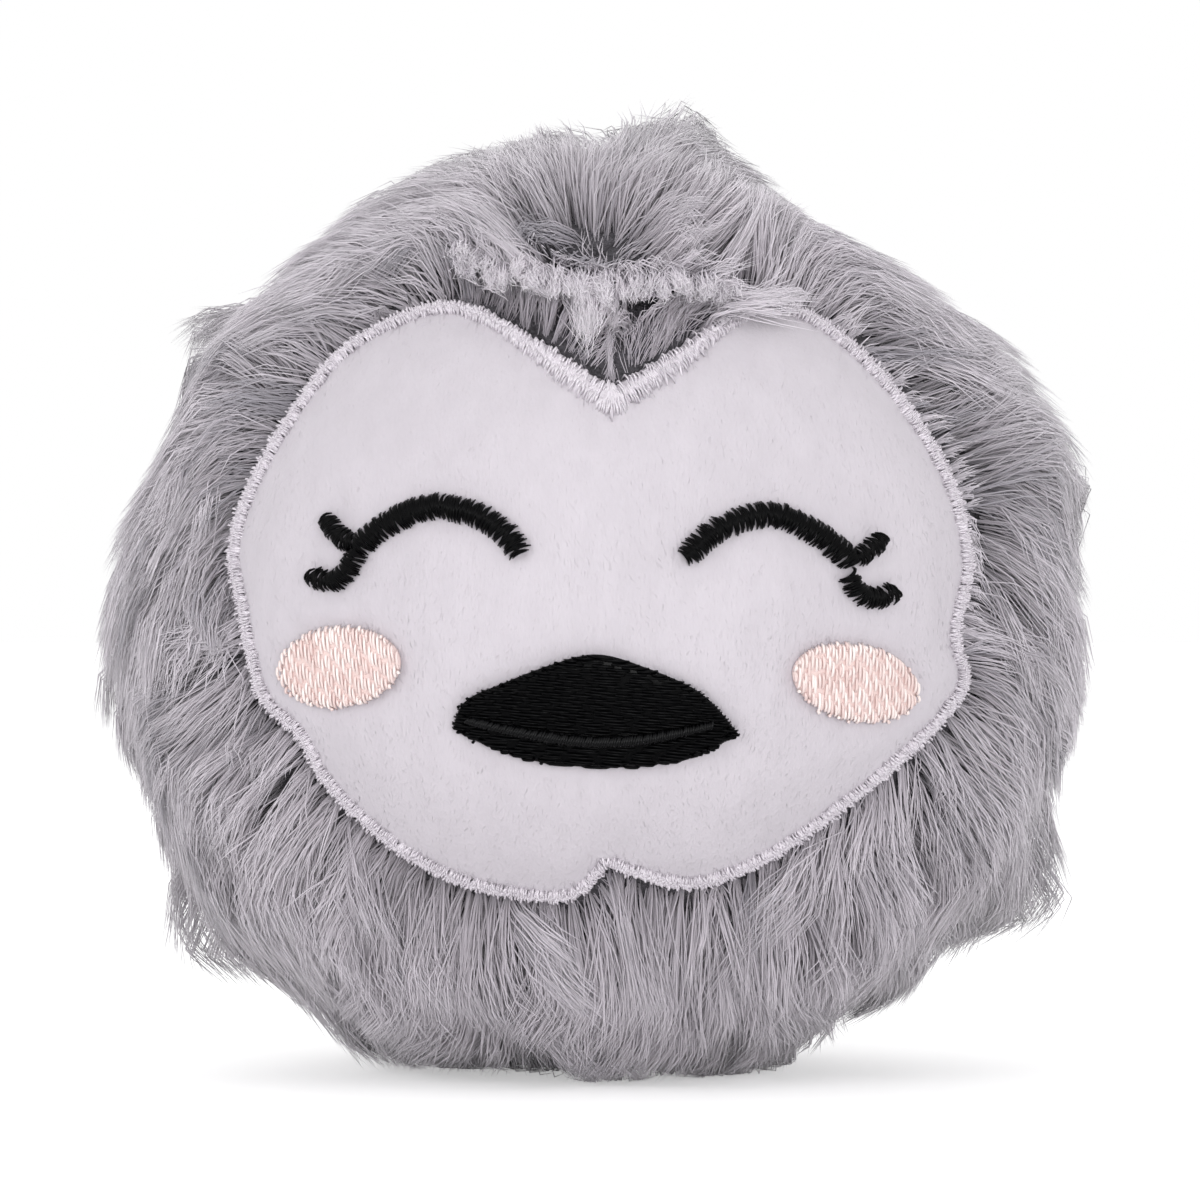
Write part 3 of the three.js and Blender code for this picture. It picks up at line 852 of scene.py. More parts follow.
def plastic(name: str, levels: tuple, roughness: float) -> CloudFinish:
    """Moulded plastic of the squeaker, with faint flow marks.

    Args:
        name: its name.
        levels: its colour, 0 to 255.
        roughness: its roughness.

    Returns:
        The finish.
    """
    colour = linear(*levels)
    clouds = (Cloud(240, 4, in_relief=0.0), Cloud(1800, 2, in_colour=0.0))
    darker = tuple(0.9 * c for c in colour)
    return CloudFinish(name, darker, colour, clouds, 0.00004, roughness=roughness, marks=0.15)


PILE_PLACES = (0.0, 0.14, 0.36, 0.7, 1.0)
# Ramp over a strand's shade: random tone in its upper part; its dark bluish low end is painted
# shade for strands in the fringe's cavity, round the whorl and at the partings.
PILE_TONE_AND_SHADE = (
    (0.0, (0.32, 0.33, 0.36)), (0.13, (0.46, 0.47, 0.5)), (0.2, (0.7, 0.69, 0.705)),
    (0.35, (0.86, 0.85, 0.865)), (0.6, (0.95, 0.94, 0.955)), (1.0, (1.0, 0.99, 1.0)),
)
PILE_SETTINGS = (
    ("Roughness", 0.62), ("Sheen_Weight", 0.4), ("Sheen_Roughness", 0.5),
    ("Specular_IOR_Level", 0.2),
)


class Finish(Enum):
    """The finishes that pieces have."""

    # The pile's dark roots and darker lower halves are partly painted shade deep in the pile.
    PILE = FibreFinish(
        "long_pile",
        ((62, 59, 63), (150, 145, 151), (196, 190, 197), (229, 223, 230), (248, 243, 249)),
        PILE_TONE_AND_SHADE, PILE_PLACES, PILE_SETTINGS,
    )
    # The fringe's colours are a lighter copy of the pile's: painted light on the fringe, which
    # stands forward over the shaded cavity.
    FRINGE = FibreFinish(
        "fringe_pile",
        ((62, 59, 63), (170, 165, 172), (222, 216, 224), (246, 241, 247), (253, 250, 254)),
        PILE_TONE_AND_SHADE, PILE_PLACES, PILE_SETTINGS,
    )
    NAP = FibreFinish(
        "short_nap", ((200, 194, 201), (206, 200, 207)),
        ((0.0, (0.98, 0.975, 0.98)), (1.0, (1.0, 1.0, 1.0))),
        settings=(("Roughness", 0.7), ("Sheen_Weight", 0.3)),
    )
    WHITE = ThreadFinish("white_thread", (210, 203, 211), (231, 225, 232), 0.7, ends=0.82)
    BLACK = ThreadFinish("black_thread", (1, 1, 2), (6, 6, 7), 0.07)
    MOUTH = ThreadFinish("mouth_thread", (4, 4, 5), (14, 14, 16), 0.15, 0.35)
    PINK = ThreadFinish("pink_thread", (232, 207, 203), (254, 242, 239), 0.7)
    # Dark grey ground: partly painted shade deep among the roots, which shows through the whorl,
    # hollows and partings.
    GROUND = CloudFinish(
        "plush_ground", linear(58, 56, 60), linear(96, 93, 99),
        (Cloud(900, 4, 0.5, 0.0), Cloud(2600, 2, 0.5)), 0.0006,
    )
    CLOTH = CloudFinish(
        "short_nap_cloth", linear(199, 193, 200), linear(205, 199, 206),
        (Cloud(420, 5, 0.45, 0.6, (1, 1, 0.45)), Cloud(70, 2, 0.35, 0.0),
         Cloud(3200, 3, 0.2, 0.4, (1, 1, 0.35))),
        0.0002, (0.38, 0.6), 0.85, settings=(("Sheen_Weight", 0.35), ("Sheen_Roughness", 0.4)),
    )
    WADDING = CloudFinish(
        "wadding", linear(226, 226, 224), linear(248, 248, 246),
        (Cloud(700, 6, stretch=(1, 0.3, 1)),), 0.0008, (0.3, 0.7),
    )
    FELT = CloudFinish(
        "stiffener_felt", linear(226, 224, 220), linear(244, 242, 238), (Cloud(1500, 6),), 0.0002
    )
    BULB = plastic("bulb_plastic", (233, 236, 239), 0.35)
    MOULDED = plastic("reed_plastic", (216, 221, 226), 0.4)
    FILM = plastic("reed_film", (201, 214, 222), 0.12)


def dressed(
    piece: bpy.types.Object, material: bpy.types.Material, slot: str, *nodes: str
) -> bpy.types.Object:
    """Gives a piece its material, rides it on the toy and lets it stand for CAD nodes.

    Args:
        piece: the piece.
        material: its only material.
        slot: not used.
        *nodes: the CAD nodes whose place it takes.

    Returns:
        The piece.
    """
    piece.data.materials.clear()
    piece.data.materials.append(material)
    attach(piece, "root")
    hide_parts(*nodes)
    log.info("%s: %d faces", piece.name, len(piece.data.polygons))
    return piece


def merged_copy(node: str, name: str) -> bpy.types.Object:
    """A CAD node's shape as a piece of its own, its doubled corners merged.

    Args:
        node: the CAD node.
        name: the piece's name.

    Returns:
        The piece, which is also the active object.
    """
    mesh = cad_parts[node].data.copy()
    mesh.name = name
    piece = bpy.data.objects.new(name, mesh)
    bpy.context.scene.collection.objects.link(piece)
    bpy.ops.object.select_all(action="DESELECT")
    piece.select_set(True)
    bpy.context.view_layer.objects.active = piece
    bpy.ops.object.mode_set(mode="EDIT")
    bpy.ops.mesh.select_all(action="SELECT")
    bpy.ops.mesh.remove_doubles(threshold=1e-6)
    bpy.ops.object.mode_set(mode="OBJECT")
    return piece


# Cover


class Panel(Enum):
    """The four gores of the cover."""

    FRONT = "front"
    LEFT = "left"
    RIGHT = "right"
    BACK = "back"

    @property
    def node(self) -> str:
        """The gore's CAD node."""
        return f"{self.value}_fur_panel"


def toward(right: float, up: float, radius: float) -> Array:
    """The direction of a place seen from the front on a ball of that radius."""
    return np.array([right, -math.sqrt(radius**2 - right**2 - up**2), up]) / radius


@dataclass(frozen=True)
class Comb:
    """A place seen from the front where the pile is brushed a way of its own."""

    right: float
    up: float
    width: float
    way: tuple[float, float]
    strength: float

    def push(self, directions: Array) -> Array:
        """How it turns the pile at each direction.

        Args:
            directions: unit vectors from the middle.

        Returns:
            What it adds to the pile's lie there.
        """
        here = toward(self.right, self.up, ROOT_RADIUS)
        away = ROOT_RADIUS * np.linalg.norm(directions - here, axis=1) / self.width
        way = np.array([self.way[0], 0.0, self.way[1]])
        return self.strength * np.exp(-(away**2))[:, None] * way


@dataclass(frozen=True)
class Swell:
    """A lump of the outline seen from the front, at a clock angle in degrees from the right."""

    clock: float
    width: float
    height: float
    half_depth: float = 0.45

    def rise(self, directions: Array) -> Array:
        """How much it adds to the pile's depth at each direction.

        Args:
            directions: unit vectors from the middle.

        Returns:
            Millimetres.
        """
        away = (clock_of(directions) - self.clock + 180) % 360 - 180
        behind = directions[:, 1] / self.half_depth
        return self.height * np.exp(-((away / self.width) ** 2) - behind**2)


@dataclass(frozen=True)
class Hollow:
    """A place seen from the front where locks part and dark roots show."""

    right: float
    up: float
    width: float

    def within(self, directions: Array) -> Array:
        """How far inside it each direction lies, from 0 to 1.

        Args:
            directions: unit vectors from the middle.

        Returns:
            1 in its middle, 0 outside.
        """
        here = toward(self.right, self.up, OUTER_RADIUS)
        away = OUTER_RADIUS * np.linalg.norm(directions - here, axis=1)
        return 1 - ramp(away, 0.5 * self.width, 1.6 * self.width)


COMBS = tuple(Comb(*row) for row in (
    (15.0, 31.0, 5.0, (1.0, -0.35), 2.6), (23.0, 28.5, 5.0, (1.0, -0.45), 1.8),
    (-38.5, 1.0, 4.5, (-0.2, -1.0), 2.6), (-38.0, -8.0, 4.5, (-0.35, -1.0), 2.2),
    (41.0, 8.0, 8.0, (1.0, -0.4), 0.8), (-14.0, 40.0, 7.0, (-1.0, 0.1), 0.9),
    (6.0, 26.5, 3.5, (0.8, 0.8), 1.2), (-30.0, -27.0, 8.0, (-0.5, -1.0), 0.8),
    (30.0, -20.0, 7.0, (-1.0, -0.5), 2.8), (20.0, -28.0, 8.0, (-0.8, -0.5), 1.4),
    (42.0, -16.0, 5.0, (0.9, -0.6), 2.8), (39.8, -23.0, 4.0, (0.9, -0.6), 2.0),
))
HOLLOWS = tuple(Hollow(*row) for row in (
    (3.6, 41.3, 2.0), (13.1, 40.4, 1.9), (5.4, 35.7, 1.7), (9.2, 37.4, 1.7), (16.7, 37.7, 1.9),
    (-19.3, 33.0, 2.0), (-44.6, -6.4, 2.3), (-43.0, 0.5, 1.7), (-39.0, -18.8, 1.7),
    (-36.5, -20.9, 1.5), (-39.2, -27.7, 2.3), (34.7, 24.2, 1.8), (37.2, -14.5, 1.7),
    (36.9, -17.5, 1.9), (36.6, -20.5, 2.1), (36.2, -23.5, 2.1), (35.8, -26.5, 1.9),
    (35.0, -29.5, 1.7), (-27.0, -37.0, 1.3), (-17.5, -43.3, 1.2), (-12.0, -47.3, 1.2),
    (0.0, -44.0, 1.2), (15.0, -34.3, 1.2), (11.8, -39.6, 1.3), (10.8, -43.4, 1.1),
))
SWELLS = tuple(Swell(*row) for row in (
    (6.0, 7.0, -1.9), (17.0, 7.0, 1.1), (66.0, 6.0, 0.9), (81.0, 7.0, 0.8), (149.0, 6.0, 0.1),
    (221.0, 7.0, 1.8), (262.0, 9.0, -1.3), (297.0, 7.0, -1.2), (315.0, 5.0, -1.2),
    (324.0, 6.0, 0.8),
))
CREST = (
    (-15.2, 35.2), (-11.0, 33.2), (-7.0, 32.6), (-3.4, 31.8), (1.0, 31.2), (6.4, 31.6),
    (11.8, 31.2), (14.4, 31.6),
)


class PileLay:
    """How deep the pile stands and which way it lies, for every direction from the middle."""

    clump_gain = 0.6
    back_rise, back_band = 1.0, (0.0, 0.45)
    whorl_at = (0.0, -0.535, 0.845)
    whorl_radius = 45.0
    ray_start = 90.0
    ray_reach = 0.052
    steepest = 0.6
    depth_passes, clump_passes = 8, 70
    waves = 7
    wave_rate = 50
    wave_pitch = (10, 28)
    cavity_seen = 0.86
    cavity_side = (15, 18)
    cavity_floor = 12
    crest_edge = 0.8
    lobe_clock, lobe_parting = (-14, 2, 46, 56), (1.2, 2.0, 3.2, 4.8)
    side_clock, side_parting = (112, 124, 160, 172), (1.8, 4.2)
    fuzz_clock, fuzz_band = (-20, -4, 46, 56), (1.0, 2.2)
    side_share = 0.85
    crater = (2.5, 9)
    cavity_dip, crater_dip, parting_dip, hollow_dip = 0.62, 0.65, 0.5, 0.55
    near_face = 7.0
    near_share, out_share, swirl_share, sway_share = 0.72, 1.7, 0.12, 0.24
    down_share, down_front = 0.3, (0.1, 0.6)

    def __init__(self, skin: BallSkin, pattern: FacePattern, seed: int) -> None:
        """Reads the depth off the CAD panels and works out the lay round the face.

        Args:
            skin: the ball's skin.
            pattern: the face's outline.
            seed: seed of the lay's waves.
        """
        self.skin = skin
        self.grid = DirectionGrid()
        self.whorl = unit(np.array(self.whorl_at))
        outline = pattern.outline()
        self.edge = skin.on_face(outline, 0.0)
        self._read_panels(outline)
        self._read_edge()
        chance = np.random.default_rng(seed)
        ways = unit(chance.normal(size=(self.waves, 3))) * 2 * np.pi
        self.wave_ways = ways / chance.uniform(*self.wave_pitch, (self.waves, 1))
        self.sways = unit(chance.normal(size=(self.waves, 3)))
        self.phases = chance.uniform(0, 2 * np.pi, self.waves)

    def _read_panels(self, outline: Array) -> None:
        """Casts a ray in from every direction to find the pile's outer surface and its gore.

        Args:
            outline: the face's outline.
        """
        grid = self.grid
        points, triangles, owner = [], [], []
        for number, panel in enumerate(Panel):
            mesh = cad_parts[panel.node].data
            start = len(points)
            points += [v.co.copy() for v in mesh.vertices]
            for polygon in mesh.polygons:
                triangles.append([start + v for v in polygon.vertices])
                owner.append(number)
        tree = BVHTree.FromPolygons(points, triangles)
        directions = grid.directions.reshape(-1, 3)
        radius = np.full(len(directions), np.nan)
        gore = np.full(len(directions), np.nan)
        middle = Vector(MIDDLE)
        for i, direction in enumerate(directions):
            way = Vector(direction)
            spot, out, face, gone = tree.ray_cast(middle + way * (self.ray_start * MM), -way)
            if spot is not None and gone < self.ray_reach and out.dot(way) > self.steepest:
                radius[i] = self.ray_start - gone / MM
                gore[i] = owner[face]
        skin = self.skin.radius(directions)
        spots = directions * skin[:, None]
        self.over_face = (directions[:, 1] < 0) & inside(outline, spots[:, [0, 2]])
        shape = (grid.rows, grid.columns)
        depth = np.where(self.over_face, np.nan, radius - skin).reshape(shape)
        depth = self._filled(depth)
        self.gore_grid = self._filled(gore.reshape(shape)).round().astype(int)
        depth = self._softened(depth, self.depth_passes)
        clumps = depth - self._softened(depth, self.clump_passes)
        self.depth_grid = depth + self.clump_gain * clumps
        self.over_face = self.over_face.reshape(shape)

    @staticmethod
    def _filled(values: Array) -> Array:
        """The values with gaps taken from their neighbours, ring by ring.

        Args:
            values: values by row and column, some nan.

        Returns:
            All filled.
        """
        for _ in range(90):
            gap = np.isnan(values)
            if not gap.any():
                break
            for shifted in (
                np.roll(values, 1, 1),
                np.roll(values, -1, 1),
                np.concatenate([values[:1], values[:-1]]),
                np.concatenate([values[1:], values[-1:]]),
            ):
                values = np.where(np.isnan(values), shifted, values)
        return values

    @staticmethod
    def _softened(values: Array, times: int) -> Array:
        """The values evened out with their neighbours'.

        Args:
            values: values by row and column.
            times: how often.

        Returns:
            The same, smoother.
        """
        for _ in range(times):
            sides = np.roll(values, 1, 1) + np.roll(values, -1, 1)
            below = np.concatenate([values[:1], values[:-1]])
            ends = below + np.concatenate([values[1:], values[-1:]])
            values = (2 * values + sides + ends) / 6
        return values

    def _read_edge(self) -> None:
        """Distance from the face's edge and the way straight out from it."""
        directions = self.grid.directions.reshape(-1, 3)
        spots = directions * self.skin.radius(directions)[:, None]
        gap, which = nearest(spots, self.edge[::2])
        out = spots - self.edge[::2][which]
        shape = self.over_face.shape
        sign = np.where(self.over_face.ravel(), -1.0, 1.0)
        out = unit(beside(out, directions)) * sign[:, None]
        self.gap_grid = (gap * sign).reshape(shape)
        self.out_grid = out.reshape(*shape, 3)

    def depth(self, directions: Array) -> Array:
        """The pile's depth.

        Args:
            directions: unit vectors from the middle.

        Returns:
            Millimetres.
        """
        rise = sum(swell.rise(directions) for swell in SWELLS)
        fluffed = self.back_rise * ramp(directions[:, 1], *self.back_band)
        return self.grid.read(self.depth_grid, directions) + rise + fluffed

    def gap(self, directions: Array) -> Array:
        """Distance from the face's edge, negative over the face."""
        return self.grid.read(self.gap_grid, directions)

    def gore(self, directions: Array) -> Array:
        """Which gore each direction meets."""
        return self.grid.pick(self.gore_grid, directions)

    def from_whorl(self, directions: Array) -> Array:
        """Distance along the skin from the whorl."""
        return self.whorl_radius * np.arccos(np.clip(directions @ self.whorl, -1, 1))

    def under(self, directions: Array) -> Array:
        """How far within the cavity between the fringe and the face's peak, from 0 to 1.

        Args:
            directions: unit vectors from the middle.

        Returns:
            A share for each.
        """
        spot = directions * self.skin.radius(directions)[:, None] / self.cavity_seen
        crest = np.interp(spot[:, 0], *zip(*CREST))
        at_side = ramp(np.abs(spot[:, 0]), *self.cavity_side)
        below = ramp(crest - spot[:, 2], -self.crest_edge, self.crest_edge)
        return below * (1 - at_side) * (spot[:, 1] < 0) * (spot[:, 2] > self.cavity_floor)

    def parting(self, directions: Array) -> Array:
        """How near a parting with dark roots, 0 to 1: beside the right lobe and up the left side.

        Args:
            directions: unit vectors from the middle.

        Returns:
            A share for each.
        """
        clock, gap = clock_of(directions), self.gap(directions)
        by_lobe = band(clock, *self.lobe_clock) * band(gap, *self.lobe_parting)
        side = self.side_share * band(clock, *self.side_clock)
        by_side = side * (1 - ramp(gap, *self.side_parting)) * (gap > -1)
        return (by_lobe + by_side) * (directions[:, 1] < 0)

    def fuzz(self, directions: Array) -> Array:
        """How far within the band of short fuzz between the right lobe and its parting, 0 to 1."""
        lobe = band(clock_of(directions), *self.fuzz_clock) * (directions[:, 1] < 0)
        return lobe * (1 - ramp(self.gap(directions), *self.fuzz_band))

    def dip(self, directions: Array) -> Array:
        """Share of the pile's depth that strands reach: little in the cavity and the whorl.

        Args:
            directions: unit vectors from the middle.

        Returns:
            A share for each.
        """
        crater = 1 - ramp(self.from_whorl(directions), *self.crater)
        share = (1 - self.cavity_dip * self.under(directions)) * (1 - self.crater_dip * crater)
        share = share * (1 - self.parting_dip * self.parting(directions))
        for hollow in HOLLOWS:
            share = share * (1 - self.hollow_dip * hollow.within(directions))
        return share

    def lean(self, directions: Array) -> Array:
        """The way the pile lies: away from the whorl, out from the face and a little down.

        Args:
            directions: unit vectors from the middle.

        Returns:
            Unit vectors along the skin.
        """
        away = unit(beside(-self.whorl, directions) + 1e-6)
        out = self.grid.read(self.out_grid, directions)
        down = beside(np.array([0.0, 0.0, -1.0]), directions)
        waves = np.sin(self.wave_rate * directions @ self.wave_ways.T + self.phases)
        sway = beside(waves @ self.sways, directions)
        near = np.exp(-((np.maximum(self.gap(directions), 0) / self.near_face) ** 2))[:, None]
        swirl = np.cross(directions, away)
        weight = self.down_share + self.down_share * ramp(-directions[:, :1], *self.down_front)
        flow = away * (1 - self.near_share * near) + self.swirl_share * swirl
        flow = flow + self.out_share * near * out + weight * down + self.sway_share * sway
        for comb in COMBS:
            flow = flow + comb.push(directions)
        return unit(beside(flow, directions))


@dataclass
class StrandSet:
    """Roots of strands with what sets each apart."""

    roots: Array
    turn: Array
    reach: Array
    fill: Array


@dataclass
class LongPile:
    """The long pile of the cover: single strands drawn together into tufts and locks."""

    lay: PileLay
    strands: int = 96500
    locks: int = 800
    tufts: int = 5400
    margins: tuple = (0.3, 0.2, 1.1)
    reach: float = 12.0
    width: float = 0.09
    stations: tuple = (0.0, 0.25, 0.6, 1.0)
    lock_turn: float = 0.36
    lock_reach: tuple = (0.9, 1.2)
    lock_fill: tuple = (0.98, 1.2)
    tuft_turn: float = 0.2
    tuft_reach: tuple = (0.6, 1.25)
    tuft_fill: tuple = (0.9, 1.07)
    own_share: float = 0.3
    own_reach: tuple = (0.8, 1.1)
    own_fill: float = 1.05
    stray_part: float = 0.09
    stray_turn: float = 0.33
    turn: float = 0.14
    to_tuft: float = 0.48
    to_lock: float = 0.26
    wander: float = 0.12
    floor: float = 0.35
    hidden_width: float = 0.55
    holes_pitch: float = 1.5
    hole_depth: float = 0.35
    strands_per_hole: int = 15
    hole_spread: float = 0.17
    hole_fan: float = 0.16
    hole_fill: tuple = (0.5, 1.02)
    seed: int = 5
    strands_per_piece: int = 12000
    softness: float = 0.6
    whorl_bare: float = 0.6
    whorl_open: tuple = (1.5, 4.5)
    parting_bare: float = 0.8
    crown_band: tuple = (3, 22)
    peak_rise: float = 3
    peak_band: tuple = (3, 11)
    cavity_short: float = 0.3
    fuzz_short: float = 0.72
    bare_passed: float = 0.12
    shortest: float = 0.25
    arch: float = 2.2
    root_sink: float = 0.5
    over_cloth: tuple = (3.7, 1.6)
    width_spread: tuple = (0.75, 1.25)
    taper: float = 0.7
    own_drop: float = 0.45
    draw: tuple = (0.05, 1.1)
    edge_draw: tuple = (0.2, 0.12)
    draw_curve: tuple = (0.9, 1.2)
    shade: float = 0.54
    shade_spread: tuple = (0.15, 0.13, 0.1)
    # darkest and the fields after it paint shade into the strands: in the fringe's cavity, at the
    # partings and round the whorl.
    darkest: float = 0.16
    cavity_shadow_spread: float = 0.2
    parting_painted_shade: float = 0.55
    whorl_painted_shade: float = 0.5
    whorl_shadow: tuple = (3, 7.5)

    def _open(self, directions: Array) -> Array:
        """How bare the cloth is: 1 in a hollow, and nearly so along a parting.

        Args:
            directions: unit vectors from the middle.

        Returns:
            A share for each.
        """
        bare = np.zeros(len(directions))
        for hollow in HOLLOWS:
            bare = np.maximum(bare, hollow.within(directions))
        away = ramp(self.lay.from_whorl(directions), *self.whorl_open)
        bare = np.maximum(bare, self.whorl_bare * (1 - away))
        return np.maximum(bare, self.parting_bare * self.lay.parting(directions))

    def _roots(self, chance: np.random.Generator, count: int, margin: float) -> Array:
        """Random directions that aren't over the face.

        Args:
            chance: random numbers.
            count: how many.
            margin: how far they stay off the face's edge.

        Returns:
            Unit vectors.
        """
        found = np.zeros((0, 3))
        while len(found) < count:
            more = unit(chance.normal(size=(count, 3)))
            bare = self._open(more)
            more = more[(self.lay.gap(more) > margin) & (chance.uniform(size=count) > bare)]
            found = np.concatenate([found, more])
        return found[:count]

    def _reach(self, directions: Array) -> Array:
        """How far strands run along the skin: less round the whorl and within the face's peak.

        Args:
            directions: unit vectors from the middle.

        Returns:
            Millimetres.
        """
        crown = ramp(self.lay.from_whorl(directions), *self.crown_band)
        peak = on_face_pattern(FacePattern().peak)
        spot = directions * ROOT_RADIUS
        from_peak = np.hypot(spot[:, 0] - peak[0], spot[:, 2] - peak[1] - self.peak_rise)
        near_peak = 0.5 + 0.5 * ramp(from_peak, *self.peak_band)
        short = 1 - self.cavity_short * self.lay.under(directions)
        short = short * (1 - self.fuzz_short * self.lay.fuzz(directions))
        return self.reach * (0.5 + 0.5 * crown) * near_peak * short

    def _grow(self, group: StrandSet) -> Array:
        """Directions along the strands, which stop short of the cavity, hollows and partings.

        Args:
            group: the strands.

        Returns:
            Strands by stations by 3.
        """
        line = self._follow(group)
        flat = line.reshape(-1, 3)
        bare = np.maximum(self.lay.under(flat), self._open(flat) - self.bare_passed)
        under = bare.reshape(line.shape[:2]) > 0.5
        share = np.ones(len(line))
        for k in range(len(self.stations) - 1, 0, -1):
            share = np.where(under[:, k], (self.stations[k - 1] + self.stations[k]) / 2, share)
        share = np.where(under[:, 0], 1.0, np.maximum(share, self.shortest))
        return self._follow(StrandSet(group.roots, group.turn, group.reach * share, group.fill))

    def _follow(self, group: StrandSet) -> Array:
        """Directions along the strands, by following the lay from the roots.

        Args:
            group: the strands.

        Returns:
            Strands by stations by 3.
        """
        here = group.roots
        cos, sin = np.cos(group.turn)[:, None], np.sin(group.turn)[:, None]
        line = [here]
        for part in np.diff(self.stations):
            for _ in range(2):
                way = self.lay.lean(here)
                turned = way * cos + np.cross(here, way) * sin
                here = unit(here + turned * (part / 2 * group.reach / ROOT_RADIUS)[:, None])
            line.append(here)
        return np.stack(line, 1)

    def _raise(self, line: Array, fill: Array) -> Array:
        """Points along strands at their height over the skin, up to the pile's outer surface.

        Args:
            line: directions along them.
            fill: how full each stands.

        Returns:
            Strands by stations by 3.
        """
        t = np.array(self.stations)
        flat, shape = line.reshape(-1, 3), line.shape[:2]
        skin, room, dip, gap = (
            read(flat).reshape(shape)
            for read in (self.lay.skin.radius, self.lay.depth, self.lay.dip, self.lay.gap)
        )
        height = room * dip * (1 - (1 - t) ** self.arch) * fill[:, None]
        height = height - self.root_sink * (t == 0)
        over_face = (gap < 0.4) & (t > 0)
        low, climb = self.over_cloth
        height = np.where(over_face, np.maximum(height, low + climb * t), height)
        return line * (skin + height)[..., None]

    @staticmethod
    def _join(roots: Array, centres: Array) -> Array:
        """The nearest centre of each root.

        Args:
            roots: where the strands start.
            centres: the centres.

        Returns:
            Its number for each.
        """
        tree = KDTree(len(centres))
        for i, centre in enumerate(centres):
            tree.insert(centre, i)
        tree.balance()
        return np.array([tree.find(root)[1] for root in roots])

    def _edge_roots(self, chance: np.random.Generator) -> tuple[Array, Array]:
        """Roots of the bundles that come out between the stitches all along the face's edge.

        Args:
            chance: random numbers.

        Returns:
            The roots and the number of each one's hole.
        """
        loop = round_loop(FacePattern().outline(), self.holes_pitch)
        holes = len(loop)
        along = unit(np.roll(loop, -1, 0) - loop)
        shift = along * chance.uniform(-0.3, 0.3, (holes, 1))
        spots = loop - inward(loop) * self.hole_depth + shift
        which = np.repeat(np.arange(holes), self.strands_per_hole)
        flat = spots[which] + chance.normal(0, self.hole_spread, (len(which), 2))
        return unit(self.lay.skin.on_face(flat, 0.0)), which

    def build(self) -> list[bpy.types.Object]:
        """The pile's pieces, by gore and height.

        Returns:
            The pieces.
        """
        chance = np.random.default_rng(self.seed)
        locks = self._roots(chance, self.locks, self.margins[0])
        lock = StrandSet(
            locks,
            chance.normal(0, self.lock_turn, self.locks),
            self._reach(locks) * chance.uniform(*self.lock_reach, self.locks),
            chance.uniform(*self.lock_fill, self.locks),
        )
        tufts = self._roots(chance, self.tufts, self.margins[1])
        owner = self._join(tufts, locks)
        tuft = StrandSet(
            tufts,
            lock.turn[owner] + chance.normal(0, self.tuft_turn, self.tufts),
            self._reach(tufts) * chance.uniform(*self.tuft_reach, self.tufts),
            lock.fill[owner] * chance.uniform(*self.tuft_fill, self.tufts),
        )
        edge_roots, hole = self._edge_roots(chance)
        roots = np.concatenate([self._roots(chance, self.strands, self.margins[2]), edge_roots])
        member = self._join(roots, tufts)
        own = self._own(chance, roots, tuft, member, hole)
        lines, guides, leaders = (
            self._raise(self._grow(group), group.fill) for group in (own, tuft, lock)
        )
        paths = self._drawn(chance, lines, guides[member], leaders[owner[member]], len(hole))
        hidden = self.lay.under(roots) > 0.5
        width = self.width * chance.uniform(*self.width_spread, (len(roots), 1))
        width = width * np.where(hidden, self.hidden_width, 1.0)[:, None]
        radii = width * (1 - self.taper * np.array(self.stations) ** 2)
        shade = self._shade(chance, roots, hidden, owner, member)
        return self._pieces(chance, paths, radii, shade, roots)

    def _own(
        self, chance: np.random.Generator, roots: Array, tuft: StrandSet, member: Array, hole: Array
    ) -> StrandSet:
        """The single strands, of which the last come out along the face's edge.

        Args:
            chance: random numbers.
            roots: where the strands start.
            tuft: the tufts.
            member: each strand's tuft.
            hole: the stitch hole of each strand of the edge.

        Returns:
            The strands.
        """
        count = len(roots)
        stray = np.where(chance.uniform(size=count) < self.stray_part, self.stray_turn, self.turn)
        turn = tuft.turn[member] + chance.normal(0, 1, count) * stray
        reach = self.own_share * self._reach(roots) + (1 - self.own_share) * tuft.reach[member]
        reach = reach * chance.uniform(*self.own_reach, count)
        drop = self.own_drop * chance.uniform(0, 1, count) ** 3
        fill = tuft.fill[member] * (self.own_fill - drop)
        fan = chance.normal(0, self.hole_fan, hole.max() + 1)[hole]
        turn[-len(hole):] = fan + chance.normal(0, self.hole_fan, len(hole))
        fill[-len(hole):] = chance.uniform(*self.hole_fill, len(hole))
        return StrandSet(roots, turn, reach, fill)

    def _drawn(
        self, chance: np.random.Generator, paths: Array, guides: Array, leaders: Array, edge: int
    ) -> Array:
        """The strands drawn toward their tuft's and lock's own lines, the more so near the tip.

        Args:
            chance: random numbers.
            paths: the strands' points.
            guides: their tufts' lines.
            leaders: their locks' lines.
            edge: how many of the last come out along the edge.

        Returns:
            Their points.
        """
        count = len(paths)
        t = np.array(self.stations)[None, :, None]
        from_edge = (np.arange(count) >= count - edge)[:, None, None]
        drawn = chance.uniform(*self.draw, (count, 1, 1))
        at_edge, curve = self.edge_draw, self.draw_curve
        to_tuft = np.where(from_edge, at_edge[0], self.to_tuft) * t ** curve[0] * drawn
        to_lock = np.where(from_edge, at_edge[1], self.to_lock) * t ** curve[1] * drawn
        paths = paths * (1 - to_tuft - to_lock) + guides * to_tuft + leaders * to_lock
        paths += chance.normal(0, self.wander, paths.shape) * t
        paths[..., 2] = np.maximum(paths[..., 2], self.floor - MIDDLE[2] / MM)
        return paths

